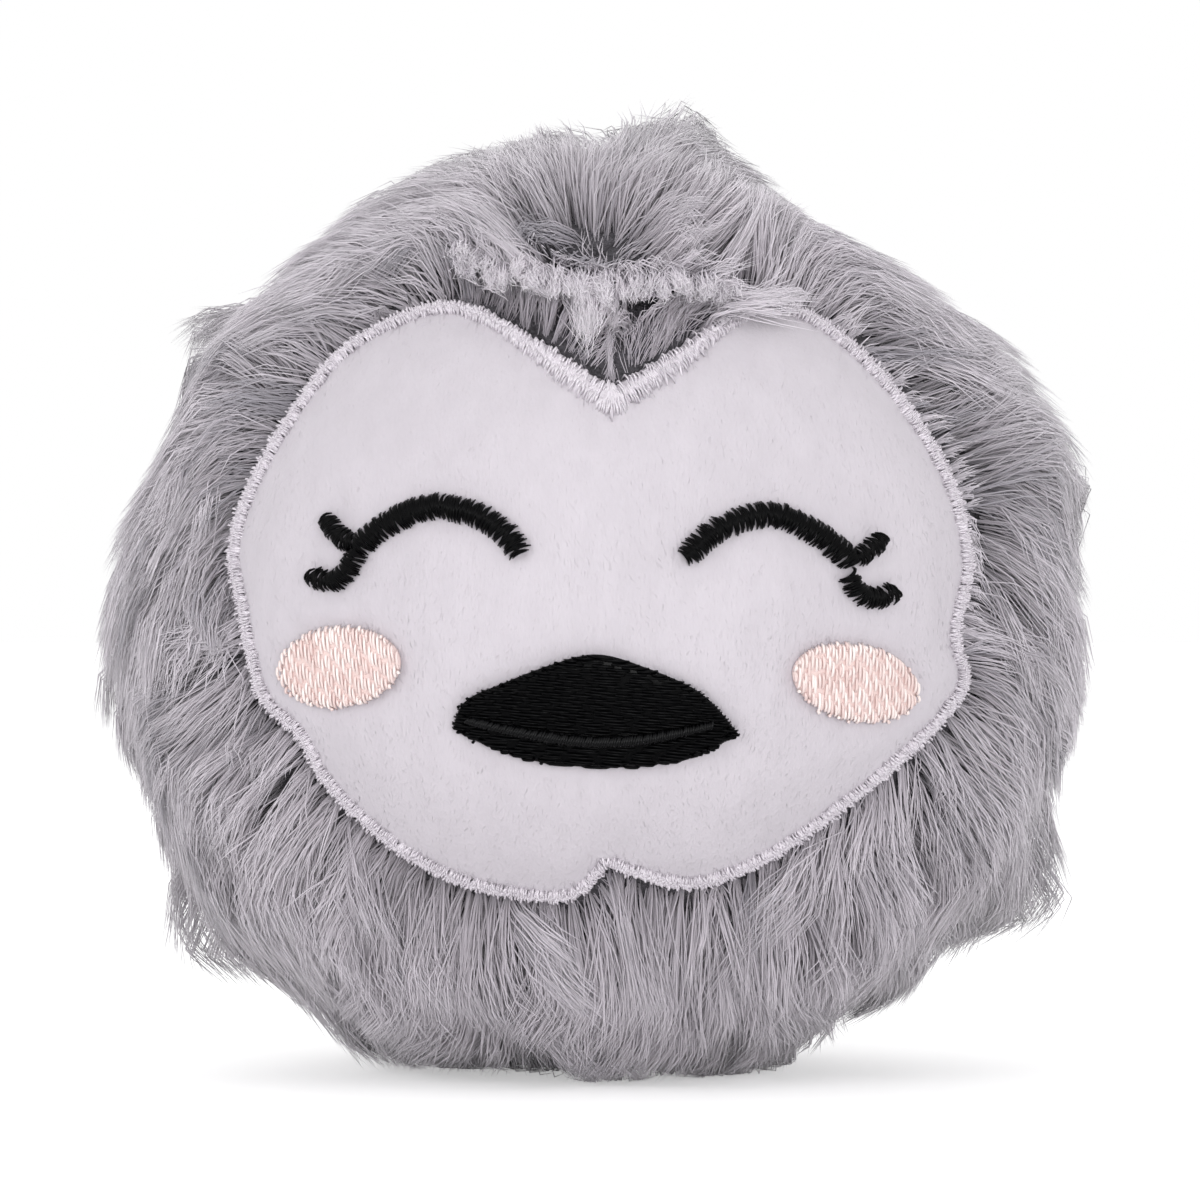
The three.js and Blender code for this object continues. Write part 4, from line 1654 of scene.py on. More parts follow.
    def _shade(
        self, chance: np.random.Generator, roots: Array, hidden: Array, owner: Array, member: Array
    ) -> Array:
        """Each strand's own shade: its tuft's and lock's, with painted shade at the whorl and the
        partings and a painted shadow of the fringe in the cavity.

        Args:
            chance: random numbers.
            roots: where the strands start.
            hidden: which of them lie in the cavity.
            owner: each tuft's lock.
            member: each strand's tuft.

        Returns:
            Places on the map, 0 to 1.
        """
        count = len(roots)
        by_tuft, by_lock, by_own = self.shade_spread
        tint = by_tuft * chance.normal(size=self.tufts)
        tint = tint + by_lock * chance.normal(size=self.locks)[owner]
        shade = self.shade + by_own * chance.normal(size=count) + tint[member]
        # Painted shade round the whorl and at the partings; strands in the cavity get the fringe's
        # painted shadow.
        whorl = 1 - ramp(self.lay.from_whorl(roots), *self.whorl_shadow)
        shade = shade * (1 - self.parting_painted_shade * self.lay.parting(roots))
        shade = shade * (1 - self.whorl_painted_shade * whorl)
        fringe_shadow = self.darkest + self.cavity_shadow_spread * chance.uniform(size=count)
        return np.where(hidden, fringe_shadow, np.clip(shade, self.darkest, 1))

    def _pieces(
        self, chance: np.random.Generator, paths: Array, radii: Array, shade: Array, roots: Array
    ) -> list[bpy.types.Object]:
        """The strands' pieces, sorted by gore and from the top down.

        Args:
            chance: random numbers.
            paths: the strands' points.
            radii: their radii.
            shade: their shades.
            roots: where the strands start.

        Returns:
            The pieces.
        """
        turn = chance.uniform(0, 2 * np.pi, len(roots))
        finish = Finish.PILE.value.material()
        gore = self.lay.gore(roots)
        made = []
        for number, panel in enumerate(Panel):
            chosen = np.flatnonzero(gore == number)
            chosen = chosen[np.argsort(-roots[chosen, 2])]
            parts = math.ceil(len(chosen) / self.strands_per_piece)
            for k, part in enumerate(np.array_split(chosen, parts)):
                faces = strands(
                    paths[part], radii[part], 3, shade[part], True, turn[part], self.softness
                )
                piece = faces.piece(f"{panel.value}_pile_{k + 1}")
                made.append(dressed(piece, finish, "long_pile_plush", panel.node))
        return made


@dataclass
class Fringe:
    """The frizzy fringe that stands over the peak, with one tuft hanging from it; its pale tips are
    painted light.
    """

    lay: PileLay
    crest: tuple = CREST
    crest_shift: tuple = (0.0, -0.1)
    strands: int = 4200
    bunches: int = 84
    bunch_spread: tuple = (0.6, 0.45)
    bunch_lean: float = 0.9
    run: tuple = (0.9, 3.4)
    height: float = 1.1
    end_bunches: int = 7
    end_sinks: float = 1.6
    tuft_tip: tuple = (-1.4, 28.2)
    tuft_run: tuple = (0.6, 5.4)
    tuft_strands: int = 420
    tuft_sinks: float = 1.2
    tuft_spread: tuple = ((0.55, 1.1), (1.5, 0.8))
    tuft_painted_light: float = 0.2
    stations: tuple = (0.0, 0.3, 0.55, 0.8, 1.0)
    width: float = 0.055
    taper: float = 0.6
    tip_spread: float = 0.33
    lean_spread: float = 0.5
    height_spread: tuple = (0.45, 0.6)
    arch: float = 2.4
    root_sink: float = 0.4
    crinkle: float = 0.2
    shade: tuple = (0.86, 0.1)
    bunch_shade: float = 0.34
    shades: tuple = (0.18, 1)
    softness: float = 0.45
    seed: int = 8

    def _seat(self, flat: Array, height: Array) -> Array:
        """Points seen from the front at flat places, so high over the skin.

        Args:
            flat: points, right and up.
            height: how far each lies above the skin.

        Returns:
            Points in space.
        """
        half = self.lay.skin.half_width
        foot = unit(self.lay.skin.on_face(flat * (half / (half + height))[..., None], 0.0))
        radius = self.lay.skin.radius(foot) + height
        return foot * radius[..., None]

    def build(self) -> bpy.types.Object:
        """The fringe's strands, each bent and crinkled on its own.

        Returns:
            The piece.
        """
        chance = np.random.default_rng(self.seed)
        crest = smooth_line(self.crest, self.bunches)
        bunch = chance.integers(0, self.bunches, self.strands)
        drawn = chance.normal(0, 1, (self.bunches, 2)) * self.bunch_spread
        centre = crest + self.crest_shift + drawn
        tips = centre[bunch] + chance.normal(0, self.tip_spread, (self.strands, 2))
        lean = chance.normal(0, self.bunch_lean, self.bunches)[bunch]
        lean = lean + chance.normal(0, self.lean_spread, self.strands)
        roots = tips + np.stack([lean, chance.uniform(*self.run, self.strands)], 1)
        size = (self.tuft_strands, 2)
        at_tips, at_roots = self.tuft_spread
        tuft_tips = np.array(self.tuft_tip) + chance.normal(0, 1, size) * at_tips
        tuft_roots = tuft_tips + self.tuft_run + chance.normal(0, 1, size) * at_roots
        tips = np.concatenate([tips, tuft_tips])
        roots = np.concatenate([roots, tuft_roots])
        count = len(tips)
        t = np.array(self.stations)[None]
        flat = roots[:, None] * (1 - t)[..., None] + tips[:, None] * t[..., None]
        top = self.lay.depth(unit(self._seat(tips, np.zeros(count))))
        top = top + chance.normal(self.height, self.height_spread[0], count)
        top[: self.strands] += chance.normal(0, self.height_spread[1], self.bunches)[bunch]
        from_end = np.minimum(bunch, self.bunches - 1 - bunch)
        top[: self.strands] -= self.end_sinks * np.clip(1 - from_end / self.end_bunches, 0, 1)
        top[-self.tuft_strands:] -= self.tuft_sinks
        paths = self._seat(flat, top[:, None] * (1 - (1 - t) ** self.arch) - self.root_sink)
        paths += chance.normal(0, self.crinkle, paths.shape) * np.sqrt(t)[..., None]
        radii = self.width * chance.uniform(0.8, 1.2, (count, 1)) * (1 - self.taper * t**2)
        # High shades on the fringe, and higher still on its hanging tuft: painted light.
        shade = chance.normal(*self.shade, count)
        shade[: self.strands] += chance.normal(0, self.bunch_shade, self.bunches)[bunch]
        shade[-self.tuft_strands:] += self.tuft_painted_light
        shade = np.clip(shade, *self.shades)
        turn = chance.uniform(0, 6.2, count)
        faces = strands(paths, radii, 3, shade, True, turn, self.softness)
        finish = Finish.FRINGE.value.material()
        return dressed(faces.piece("crown_fringe"), finish, "long_pile_plush", Panel.FRONT.node)


@dataclass
class PlushGround:
    """The knitted ground cloth of one gore, with the matted roots of its pile; its dark grey is
    partly painted shade.
    """

    panel: Panel
    skin: BallSkin
    rise: float = 0.5
    slack: float = 0.2
    soft_angle: float = 50

    def build(self) -> bpy.types.Object:
        """The gore's shell pulled in to the cloth's own thickness.

        Returns:
            The piece.
        """
        ground = merged_copy(self.panel.node, f"{self.panel.value}_ground")
        mesh = ground.data
        points = np.empty(len(mesh.vertices) * 3, np.float32)
        mesh.vertices.foreach_get("co", points)
        points = (points.reshape(-1, 3) - MIDDLE) / MM
        radius = np.linalg.norm(points, axis=1)
        skin = self.skin.radius(unit(points))
        outer = radius > skin + self.slack
        points[outer] *= ((skin + self.rise) / radius)[outer, None]
        mesh.vertices.foreach_set("co", (points * MM + MIDDLE).astype(np.float32).ravel())
        mesh.update()
        bpy.ops.object.shade_smooth_by_angle(angle=math.radians(self.soft_angle))
        dressed(ground, Finish.GROUND.value.material(), "long_pile_plush", self.panel.node)
        return ground


# Face


@dataclass
class Stitching:
    """Threads laid on the face, each an arch from one needle hole to the next."""

    skin: BallSkin
    radius: float
    foot: float
    crown: float
    sides: int = 5
    stations: int = 7
    pinch: float = 0.55

    def faces(
        self, starts: Array, ends: Array, shade: Array, dive: float = 0.0, swell: float = 0.55
    ) -> Faces:
        """The threads as closed tubes.

        Args:
            starts: flat needle holes that threads come from.
            ends: flat needle holes that they go to.
            shade: each thread's own shade.
            dive: how much lower the first holes lie than the others.
            swell: how square the arch is, lower for squarer.

        Returns:
            The faces.
        """
        t = np.linspace(0, 1, self.stations)
        flat = starts[:, None] * (1 - t)[None, :, None] + ends[:, None] * t[None, :, None]
        low = self.foot - dive * (1 - t)
        arch = np.sin(np.pi * t) ** swell
        height = low * (1 - arch) + self.crown * arch
        paths = self.skin.on_face(flat, np.broadcast_to(height, flat.shape[:2]))
        radii = np.full(flat.shape[:2], self.radius)
        radii[:, [0, -1]] *= self.pinch
        return strands(paths, radii, self.sides, shade, False, np.zeros(len(starts)))


@dataclass
class FaceCloth:
    """The face cloth and its nap, puffed between what is sewn on it."""

    skin: BallSkin
    pattern: FacePattern
    sewn: Array
    foot: float = 1.2
    top: float = 2.5
    puff: float = 0.45
    pressed: float = 0.25
    puff_reach: float = 2.6
    rings: int = 60
    fibres: int = 9000
    fibre_reach: tuple = (0.7, 1.6)
    fibre_radius: float = 0.032
    seed: int = 11

    def height(self, flat: Array) -> Array:
        """The top's height over the skin: low beside stitches and full between them.

        Args:
            flat: points, right and up.

        Returns:
            Millimetres.
        """
        gap, _ = nearest(flat, self.sewn)
        rise = 1 - np.exp(-gap / self.puff_reach)
        roll = np.sin(flat[:, 0] * 0.33 + 1) * np.sin(flat[:, 1] * 0.27) * 0.05
        return self.top - self.pressed + (self.puff + self.pressed) * rise + roll * rise

    def build(self) -> list[bpy.types.Object]:
        """The cloth and the nap on it.

        Returns:
            Both pieces.
        """
        outline = self.pattern.outline()
        width = EdgeWidth().near(outline)
        loop = outline + inward(outline) * (0.4 * width)[:, None]
        middle = on_face_pattern(self.pattern.middle)
        fractions = np.linspace(1 / self.rings, 1, self.rings)
        faces = layer_on_face(loop, middle, fractions, self.height, self.top - 0.55, self.foot)
        cloth = faces.piece("face_cloth")
        dressed(cloth, Finish.CLOTH.value.material(), "short_pile_cloth", "face_applique")
        return [cloth, self._nap(loop)]

    def _nap(self, loop: Array) -> bpy.types.Object:
        """Short fibres brushed down over the cloth.

        Args:
            loop: the cloth's rim.

        Returns:
            The piece.
        """
        chance = np.random.default_rng(self.seed)
        low, high = loop.min(0), loop.max(0)
        spots = chance.uniform(low, high, (self.fibres * 2, 2))
        spots = spots[inside(loop, spots)]
        gap, _ = nearest(spots, self.sewn)
        spots = spots[gap > 0.25][: self.fibres]
        count = len(spots)
        swirl = np.sin(spots[:, 0] * 0.21 + 0.7) + np.sin(spots[:, 1] * 0.3 + spots[:, 0] * 0.13)
        heading = -np.pi / 2 + 0.2 * swirl + chance.normal(0, 0.25, count)
        reach = chance.uniform(*self.fibre_reach, count)
        way = np.stack([np.cos(heading), np.sin(heading)], 1)
        ends = spots + way * reach[:, None]
        flat = np.stack([spots, ends], 1)
        tips = self.height(ends) + chance.uniform(0.01, 0.05, count)
        paths = self.skin.on_face(flat, np.stack([self.height(spots) - 0.04, tips], 1))
        radii = np.full((count, 2), self.fibre_radius)
        turn = chance.uniform(0, 2, count)
        faces = strands(paths, radii, 3, chance.uniform(0, 1, count), True, turn)
        piece = faces.piece("face_nap")
        return dressed(piece, Finish.NAP.value.material(), "short_pile_cloth", "face_applique")


@dataclass
class SatinEdge:
    """The white satin stitch along the face's edge."""

    skin: BallSkin
    pattern: FacePattern
    pitch: float = 0.17
    radius: float = 0.13
    crown: tuple = (2.45, 2.95)
    dive: float = 1.25
    first_radius: float = 0.16
    first: tuple = (2.2, 2.75)
    first_dive: float = 1.1
    fan: int = 46
    longest: float = 1.1
    seed: int = 17

    def build(self) -> bpy.types.Object:
        """Threads laid across the edge, one beside another.

        Returns:
            The piece.
        """
        chance = np.random.default_rng(self.seed)
        loop = round_loop(self.pattern.outline(), self.pitch)
        way = unit(inward(loop))
        for _ in range(4):
            way = unit(way + np.roll(way, 1, 0) + np.roll(way, -1, 0))
        around_peak, mitre = self._fan(way[5], way[-5], chance)
        loop = np.concatenate([loop, np.repeat(loop[:1], len(around_peak), 0)])
        way = np.concatenate([way, around_peak])
        count = len(loop)
        width = EdgeWidth().near(loop) * chance.normal(1, 0.06, count)
        width[-len(around_peak):] *= mitre
        skew = leftward(way) * chance.normal(0.12, 0.16, (count, 1))
        outer = loop - way * chance.uniform(-0.1, 0.3, (count, 1)) - skew
        inner = loop + way * width[:, None] + skew
        crown = Stitching(self.skin, self.radius, *self.crown, sides=3, stations=4)
        starts = np.concatenate([chance.uniform(0, 0.3, count), chance.uniform(0.35, 0.6, count)])
        ends = np.minimum(starts + chance.uniform(0.32, 0.52, 2 * count), 1)
        foot, across = np.tile(outer, (2, 1)), np.tile(inner - outer, (2, 1))
        starts, ends = foot + across * starts[:, None], foot + across * ends[:, None]
        faces = crown.faces(starts, ends, chance.uniform(0, 1, 2 * count), self.dive)
        first = Stitching(self.skin, self.first_radius, *self.first, sides=4, stations=5)
        inset = way * width[:, None] * 0.04
        starts, ends = outer + inset + 2 * skew, inner - inset - 2 * skew
        under = first.faces(starts, ends, chance.uniform(0.3, 1, count), self.first_dive)
        faces = faces.joined(under)
        piece = faces.piece("satin_edge")
        return dressed(piece, Finish.WHITE.value.material(), "white_thread", "face_border")

    def _fan(
        self, after: Array, before: Array, chance: np.random.Generator
    ) -> tuple[Array, Array]:
        """Ways of the threads that fill the wedge under the peak, and their lengthening.

        Args:
            after: the way in just after the peak.
            before: the way in just before it.
            chance: random numbers.

        Returns:
            Both for each thread.
        """
        start, end = math.atan2(before[1], before[0]), math.atan2(after[1], after[0])
        sweep = (end - start + math.pi) % (2 * math.pi) - math.pi
        place = np.linspace(0, 1, self.fan) + chance.normal(0, 0.02, self.fan)
        turn = sweep * np.clip(place, 0, 1)
        angle = start + turn
        mitre = 1 / np.cos(abs(sweep) / 2 - np.abs(turn - sweep / 2))
        mitre = np.minimum(mitre, self.longest)
        return np.stack([np.cos(angle), np.sin(angle)], 1), mitre


@dataclass
class SatinStroke:
    """A stroke of black satin stitch."""

    name: str
    node: str
    line: tuple
    width: float
    seed: int
    pitch: float = 0.17
    radius: float = 0.15
    ragged: float = 0.28
    heights: tuple = (2.55, 3.55)

    def path(self, count: int = 60) -> Array:
        """The stroke's middle line."""
        return smooth_line(sewn_pattern(self.line), count)

    def build(self, skin: BallSkin, finish: bpy.types.Material) -> bpy.types.Object:
        """Threads across the line, with ragged ends and a round first and last few.

        Args:
            skin: the ball's skin.
            finish: the material.

        Returns:
            The piece.
        """
        chance = np.random.default_rng(self.seed)
        line = self.path(200)
        length = length_of(line)
        count = int(length / self.pitch)
        spots = evenly(line, count)
        along = unit(np.gradient(spots, axis=0))
        across = leftward(along)
        gone = np.linspace(0, length, count)
        to_end = np.minimum(gone, length - gone)
        half = self.width / 2 * np.sqrt(np.clip(to_end / 0.7 + 0.35, 0, 1))
        tilt = along * chance.normal(0, 0.16, (count, 1))
        left = spots + across * (half + chance.uniform(-0.1, self.ragged, count))[:, None] + tilt
        right = spots - across * (half + chance.uniform(-0.1, self.ragged, count))[:, None] - tilt
        stitches = Stitching(skin, self.radius, *self.heights)
        faces = stitches.faces(left, right, chance.uniform(0, 1, count))
        return dressed(faces.piece(self.name), finish, "black_thread", self.node)


@dataclass
class Eyes:
    """Both closed eyes with their lashes."""

    skin: BallSkin
    arc_width: float = 2.2
    lash_width: float = 1.8
    first_seed: int = 21
    lines: tuple = (
        ("left_eye", "left_eye_arc",
         ((-0.213, 0.121), (-0.254, 0.179), (-0.331, 0.226), (-0.444, 0.249), (-0.556, 0.21),
          (-0.65, 0.142))),
        ("left_lash_high", "left_upper_lash", ((-0.66, 0.15), (-0.7, 0.17), (-0.736, 0.218))),
        ("left_lash_low", "left_lower_lash",
         ((-0.65, 0.13), (-0.68, 0.075), (-0.723, 0.049), (-0.779, 0.066))),
        ("right_eye", "right_eye_arc",
         ((0.228, 0.108), (0.274, 0.159), (0.341, 0.2), (0.459, 0.228), (0.577, 0.179),
          (0.68, 0.1))),
        ("right_lash_high", "right_upper_lash", ((0.685, 0.11), (0.72, 0.131), (0.759, 0.167))),
        ("right_lash_low", "right_lower_lash",
         ((0.665, 0.07), (0.697, 0.018), (0.741, 0.005), (0.795, 0.022))),
    )

    def strokes(self) -> list[SatinStroke]:
        """The six strokes.

        Returns:
            The strokes.
        """
        strokes = []
        for number, (name, node, line) in enumerate(self.lines):
            width = self.arc_width if node.endswith("arc") else self.lash_width
            strokes.append(SatinStroke(name, node, line, width, self.first_seed + number))
        return strokes

    def build(self) -> list[bpy.types.Object]:
        """All strokes as pieces."""
        finish = Finish.BLACK.value.material()
        return [stroke.build(self.skin, finish) for stroke in self.strokes()]


def underlay(loop: Array, foot: float, top: float) -> Faces:
    """The flat first layer of thread under a filled shape.

    Args:
        loop: the shape's edge.
        foot: height of its underside.
        top: height of its top.

    Returns:
        The faces, with a map.
    """
    middle = loop.mean(0)
    fractions = np.linspace(0.1, 1, 10)

    def level(flat: Array) -> Array:
        """The same height everywhere."""
        return np.full(len(flat), top)

    base = layer_on_face(loop, middle, fractions, level, top - 0.25, foot)
    flat = base.points[:, [0, 2]]
    spread = (flat - flat.min(0)) / np.ptp(flat, 0)
    places = np.stack([0.03 + 0.1 * spread[:, 0], 0.3 + 0.4 * spread[:, 1]], 1)
    base.places = places[base.corners]
    return base


def fill_rows(
    loop: Array, heading: float, pitch: float, stitch: float, chance: np.random.Generator
) -> tuple[Array, Array]:
    """Fill stitches inside a loop: parallel rows of short threads with staggered holes.

    Args:
        loop: the shape's edge.
        heading: the rows' direction, as an angle.
        pitch: distance between rows.
        stitch: length of a stitch.
        chance: random numbers.

    Returns:
        Where the stitches start and end.
    """
    way = np.array([math.cos(heading), math.sin(heading)])
    side = np.array([-way[1], way[0]])
    level, along = loop @ side, loop @ way
    after_level, after_along = np.roll(level, -1), np.roll(along, -1)
    starts, ends = [], []
    for number, row in enumerate(np.arange(level.min() + pitch / 2, level.max(), pitch)):
        crosses = (level > row) != (after_level > row)
        share = (row - level[crosses]) / (after_level[crosses] - level[crosses])
        meets = np.sort(along[crosses] + share * (after_along[crosses] - along[crosses]))
        for low, high in zip(meets[::2], meets[1::2]):
            low, high = low - chance.uniform(0, 0.3), high + chance.uniform(0, 0.3)
            first = low + stitch * (0.15 + 0.37 * (number % 3) + chance.uniform(-0.14, 0.14))
            holes = np.arange(first, high - 0.25 * stitch, stitch)
            holes = holes + chance.normal(0, 0.12 * stitch, len(holes))
            holes = np.concatenate([[low], holes, [high]])
            for a, b in zip(holes[:-1], holes[1:]):
                shift = chance.normal(0, 0.05, 2)
                starts.append(way * a + side * (row + shift[0]))
                ends.append(way * b + side * (row + shift[1]))
    return np.array(starts), np.array(ends)


@dataclass
class Beak:
    """The filled black beak and the raised satin line across it."""

    skin: BallSkin
    left_tip: tuple = (-0.39, -0.338)
    right_tip: tuple = (0.367, -0.354)
    middle: tuple = (-0.01, -0.308)
    ridge: tuple = (
        (-0.356, -0.267), (-0.251, -0.218), (-0.123, -0.169), (-0.01, -0.144), (0.108, -0.174),
        (0.267, -0.246),
    )
    underside: tuple = ((0.244, -0.415), (0.067, -0.441), (-0.136, -0.431), (-0.287, -0.39))
    mouth: tuple = (
        (-0.346, -0.313), (-0.226, -0.341), (-0.062, -0.367), (0.079, -0.367), (0.19, -0.349),
        (0.29, -0.326),
    )
    pitch: float = 0.27
    stitch: float = 2.9
    slope: float = -4
    radius: float = 0.16
    heights: tuple = (2.95, 3.5)
    under: tuple = (2.6, 3.35)
    mouth_stitches: int = 104
    mouth_half_width: float = 0.55
    mouth_radius: float = 0.155
    mouth_heights: tuple = (3.5, 4.15)
    seed: int = 31

    def loop(self) -> Array:
        """The beak's edge, anticlockwise.

        Returns:
            The loop's points.
        """
        ridge = smooth_line(sewn_pattern([self.right_tip, *self.ridge[::-1], self.left_tip]), 60)
        below = [self.left_tip, *self.underside[::-1], self.right_tip]
        under = smooth_line(sewn_pattern(below), 60)
        return np.concatenate([ridge[:-1], under[:-1]])

    def build(self) -> list[bpy.types.Object]:
        """The fill and the mouth line.

        Returns:
            Both pieces.
        """
        chance = np.random.default_rng(self.seed)
        finish = Finish.BLACK.value.material()
        heading = math.radians(self.slope)
        starts, ends = fill_rows(self.loop(), heading, self.pitch, self.stitch, chance)
        stitches = Stitching(self.skin, self.radius, *self.heights, stations=6)
        fill = stitches.faces(starts, ends, chance.uniform(0, 1, len(starts)), swell=0.3)
        fill = fill.joined(underlay(self.loop(), *self.under))
        beak = dressed(fill.piece("beak"), finish, "black_thread", "beak_patch")
        line = smooth_line(sewn_pattern(self.mouth), self.mouth_stitches)
        along = unit(np.gradient(line, axis=0))
        across = leftward(along)
        taper = np.sin(np.linspace(0.25, np.pi - 0.25, len(line))) ** 0.4
        lean = along * 0.22 + chance.normal(0, 0.05, line.shape)
        half = across * (self.mouth_half_width * taper)[:, None]
        ridge = Stitching(self.skin, self.mouth_radius, *self.mouth_heights)
        shade = chance.uniform(0.4, 1, len(line))
        faces = ridge.faces(line + half + lean, line - half - lean, shade)
        shiny = Finish.MOUTH.value.material()
        mouth = dressed(faces.piece("mouth"), shiny, "black_thread", "mouth_line")
        return [beak, mouth]


@dataclass
class Cheek:
    """One pink oval of fill stitches."""

    name: str
    node: str
    middle: tuple
    half_width: float
    half_height: float
    tilt: float
    seed: int
    pitch: float = 0.33
    stitch: float = 1.9
    radius: float = 0.17
    heights: tuple = (2.85, 3.35)
    under: tuple = (2.5, 3.15)

    def loop(self, grow: float = 0.0) -> Array:
        """The oval's edge.

        Args:
            grow: how much larger it is drawn.

        Returns:
            The loop's points.
        """
        angle = np.linspace(0, 2 * np.pi, 80, endpoint=False)
        x, z = (self.half_width + grow) * np.cos(angle), (self.half_height + grow) * np.sin(angle)
        c, s = math.cos(math.radians(self.tilt)), math.sin(math.radians(self.tilt))
        return sewn_pattern(self.middle) + np.stack([c * x - s * z, s * x + c * z], 1)

    def build(self, skin: BallSkin, finish: bpy.types.Material) -> bpy.types.Object:
        """The oval's threads, nearly upright.

        Args:
            skin: the ball's skin.
            finish: the material.

        Returns:
            The piece.
        """
        chance = np.random.default_rng(self.seed)
        heading = math.radians(90 + self.tilt * 0.4 + 4)
        starts, ends = fill_rows(self.loop(-0.15), heading, self.pitch, self.stitch, chance)
        stitches = Stitching(skin, self.radius, *self.heights, stations=6)
        faces = stitches.faces(starts, ends, chance.uniform(0, 1, len(starts)), swell=0.35)
        faces = faces.joined(underlay(self.loop(-0.2), *self.under))
        return dressed(faces.piece(self.name), finish, "pink_thread", self.node)


@dataclass
class Face:
    """The whole face: cloth, satin edge, eyes, beak and cheeks."""

    skin: BallSkin
    pattern: FacePattern = field(default_factory=FacePattern)
    fill_rings: tuple = (0.98, 0.86, 0.74, 0.6, 0.4, 0.2)

    def cheeks(self) -> list[Cheek]:
        """Both cheeks.

        Returns:
            The cheeks.
        """
        return [
            Cheek("left_blush", "left_cheek", (-0.697, -0.179), 6.2, 4.0, 6, 41),
            Cheek("right_blush", "right_cheek", (0.685, -0.221), 6.5, 3.8, -12, 42),
        ]

    def build(self) -> None:
        """Builds every piece of the face."""
        eyes, beak, cheeks = Eyes(self.skin), Beak(self.skin), self.cheeks()
        outline = self.pattern.outline()
        rim = outline + inward(outline) * EdgeWidth().near(outline)[:, None]
        sewn = [rim[::2]]
        for stroke in eyes.strokes():
            line = stroke.path()
            along = unit(np.gradient(line, axis=0))
            across = leftward(along) * stroke.width / 2
            sewn += [line, line + across * 0.9, line - across * 0.9]
        filled = [(beak.loop(), beak.middle), *((c.loop(), c.middle) for c in cheeks)]
        for loop, middle in filled:
            centre = sewn_pattern(middle)
            sewn += [centre + (loop - centre) * share for share in self.fill_rings]
        FaceCloth(self.skin, self.pattern, np.concatenate(sewn)).build()
        SatinEdge(self.skin, self.pattern).build()
        eyes.build()
        beak.build()
        finish = Finish.PINK.value.material()
        for cheek in cheeks:
            cheek.build(self.skin, finish)


# Inside


@dataclass
class Stuffing:
    """The wads of polyester fibre in front of and behind the middle."""

    nodes: tuple = ("stuffing_front", "stuffing_back")
    soft_angle: float = 40

    def build(self) -> None:
        """Each wad, softened from the room that it fills."""
        finish = Finish.WADDING.value.material()
        for node in self.nodes:
            wad = merged_copy(node, node.replace("stuffing", "wad"))
            bpy.ops.object.shade_smooth_by_angle(angle=math.radians(self.soft_angle))
            dressed(wad, finish, "polyester_stuffing", node)


@dataclass
class Squeaker:
    """The squeaker's parts and the stiffener, whose CAD shapes are kept and dressed."""

    parts: tuple = (
        (Finish.BULB, ("squeaker_bulb",)),
        (Finish.MOULDED, ("reed_sleeve", "reed_seat", "reed_clamp")),
        (Finish.FILM, ("reed",)),
        (Finish.FELT, ("face_backing",)),
    )

    def build(self) -> None:
        """Gives each node its finish."""
        for finish, nodes in self.parts:
            material = finish.value.material()
            for node in nodes:
                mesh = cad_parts[node].data
                mesh.materials.clear()
                mesh.materials.append(material)
                log.info("%s: %d faces", node, len(mesh.polygons))


# Studio


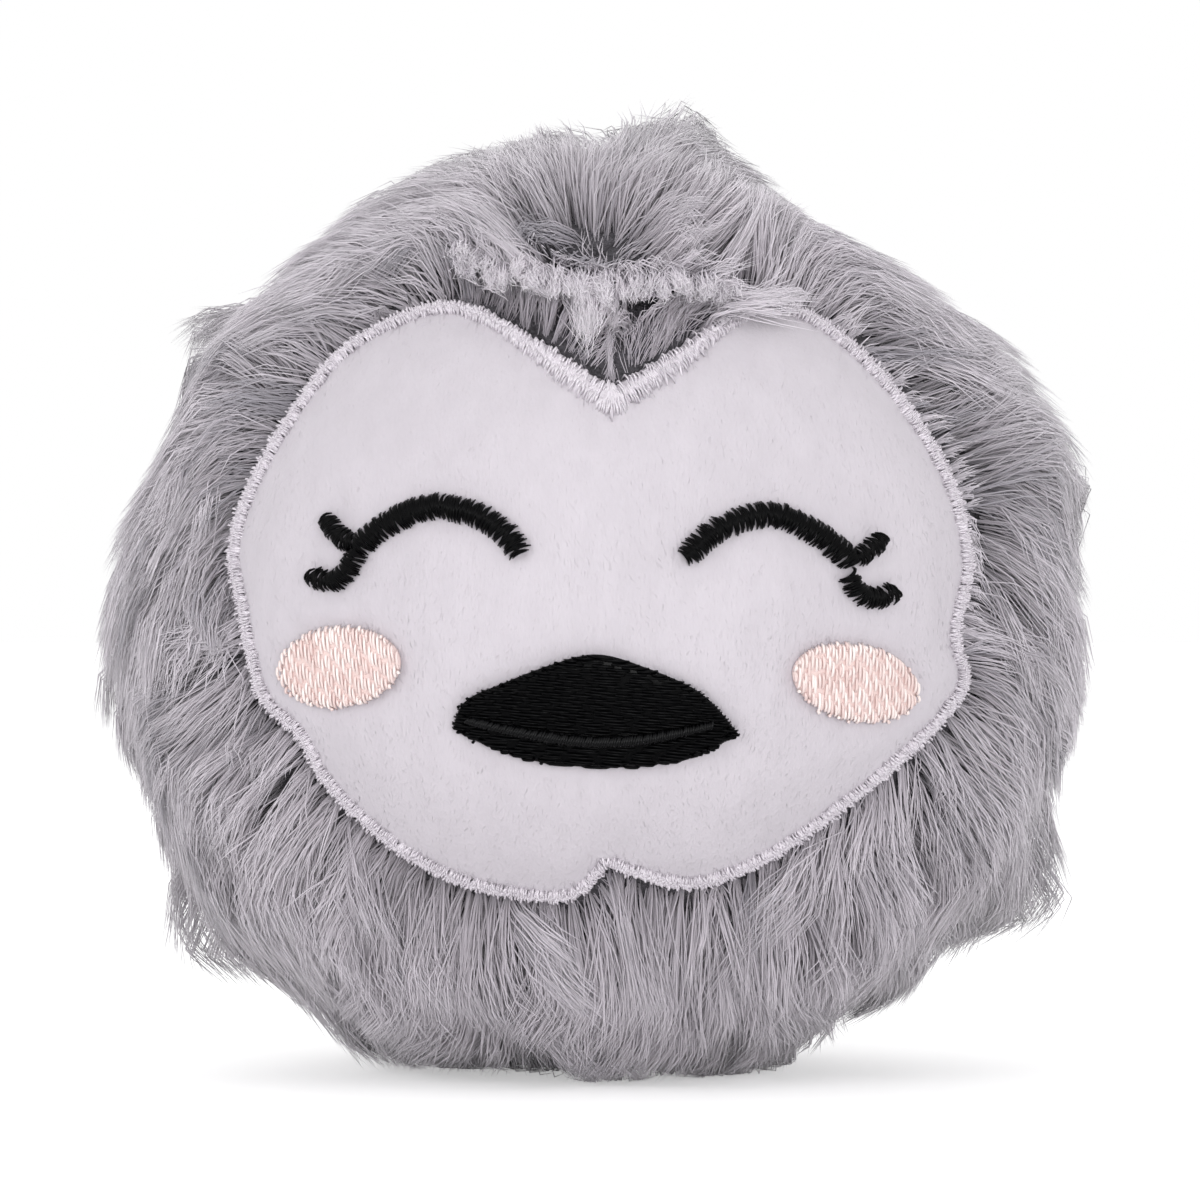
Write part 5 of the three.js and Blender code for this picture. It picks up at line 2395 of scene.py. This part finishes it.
@dataclass
class Studio:
    """Camera at the photo's place, a white floor and soft light."""

    distance: float = 0.6
    picture_width: float = 0.132
    sensor: float = 36.0
    clip: tuple = (0.01, 100)
    floor_size: float = 12
    floor_white: float = 0.92
    floor_glow: float = 0.42
    fill_light: float = 0.72
    key_light: float = 1.8
    lamps: tuple = (
        ("key_lamp", (-0.65, -0.7, 0.3), 0.4, 1.0),
        ("side_lamp", (0.7, -0.5, 0.25), 0.5, 0.35),
        ("low_lamp", (0.12, -0.75, 0.03), 0.3, 1.65),
        ("back_lamp", (-0.2, 0.7, 0.6), 0.7, 0.6),
    )

    def build(self) -> None:
        """Sets the scene up round the toy."""
        scene = bpy.context.scene
        scene.view_settings.view_transform = "Standard"
        self._camera(scene)
        self._floor()
        self._world(scene)
        for name, place, size, share in self.lamps:
            self._lamp(name, place, size, self.key_light * share)

    def _camera(self, scene: bpy.types.Scene) -> None:
        """A camera level with the ball's middle.

        Args:
            scene: the scene.
        """
        data = bpy.data.cameras.new("camera")
        data.sensor_width = self.sensor
        data.lens = self.sensor * self.distance / self.picture_width
        data.clip_start, data.clip_end = self.clip
        camera = bpy.data.objects.new("camera", data)
        camera.location = (MIDDLE[0], MIDDLE[1] - self.distance, MIDDLE[2])
        camera.rotation_euler = (math.pi / 2, 0, 0)
        scene.collection.objects.link(camera)
        scene.camera = camera

    def _floor(self) -> None:
        """A wide white floor that keeps the toy's shadow."""
        bpy.ops.object.select_all(action="DESELECT")
        bpy.ops.mesh.primitive_plane_add(size=self.floor_size, location=(0, 0, 0))
        floor = bpy.context.object
        floor.name = "floor"
        paint = Paint("floor_white")
        paint.wire(Base_Color=(*(self.floor_white,) * 3, 1), Roughness=0.9)
        seen = paint.add("ShaderNodeLightPath", {}, {}, "Is Camera Ray")
        glow = paint.add("ShaderNodeEmission", {}, {"Strength": seen * self.floor_glow})
        surface = Wire(paint, paint.shader.outputs[0])
        both = paint.add("ShaderNodeAddShader", {}, {0: surface, 1: glow})
        paint.plug(paint.out.inputs["Surface"], both)
        floor.data.materials.append(paint.material)

    def _world(self, scene: bpy.types.Scene) -> None:
        """Even light from all round, white where the camera or a reflection sees it.

        Args:
            scene: the scene.
        """
        world = bpy.data.worlds.new("studio")
        scene.world = world
        world.use_nodes = True
        nodes = Nodes(world.node_tree)
        path = nodes.node("ShaderNodeLightPath", {}, {})
        camera, through, glossy = (
            Wire(nodes, path.outputs[f"Is {kind} Ray"])
            for kind in ("Camera", "Transmission", "Glossy")
        )
        seen = camera.either(through).either(glossy)
        levels = {"To Min": self.fill_light, "To Max": 1.0, "Value": seen}
        level = nodes.add("ShaderNodeMapRange", {}, levels)
        white = {"Color": (1, 1, 1, 1), "Strength": level}
        light = nodes.add("ShaderNodeBackground", {}, white)
        nodes.node("ShaderNodeOutputWorld", {}, {"Surface": light})

    def _lamp(self, name: str, place: tuple, size: float, power: float) -> None:
        """A soft square lamp aimed at the ball.

        Args:
            name: its name.
            place: where it stands.
            size: its side.
            power: its power.
        """
        data = bpy.data.lights.new(name, "AREA")
        data.size = size
        data.energy = power
        lamp = bpy.data.objects.new(name, data)
        lamp.location = Vector(place)
        aim = Vector(MIDDLE) - lamp.location
        lamp.rotation_euler = aim.to_track_quat("-Z", "Y").to_euler()
        bpy.context.scene.collection.objects.link(lamp)


def main() -> None:
    """Builds the toy's looks in order and notes their size."""
    logging.basicConfig(level=logging.INFO, format="%(message)s")
    Studio().build()
    skin = BallSkin()
    for panel in Panel:
        PlushGround(panel, skin).build()
    lay = PileLay(skin, FacePattern(), 3)
    LongPile(lay).build()
    Fringe(lay).build()
    Face(skin).build()
    Stuffing().build()
    Squeaker().build()
    log.info("all pieces: %d triangles", triangles())


def triangles() -> int:
    """How many triangles the visible meshes have."""
    meshes = [o.data for o in bpy.context.scene.objects if o.type == "MESH" and not o.hide_render]
    return sum(len(mesh.loops) - 2 * len(mesh.polygons) for mesh in meshes)


def plain(box: object) -> list:
    """A box as plain lists of numbers."""
    return [[float(x) for x in corner] for corner in box]


if __name__ == "__main__":
    main()
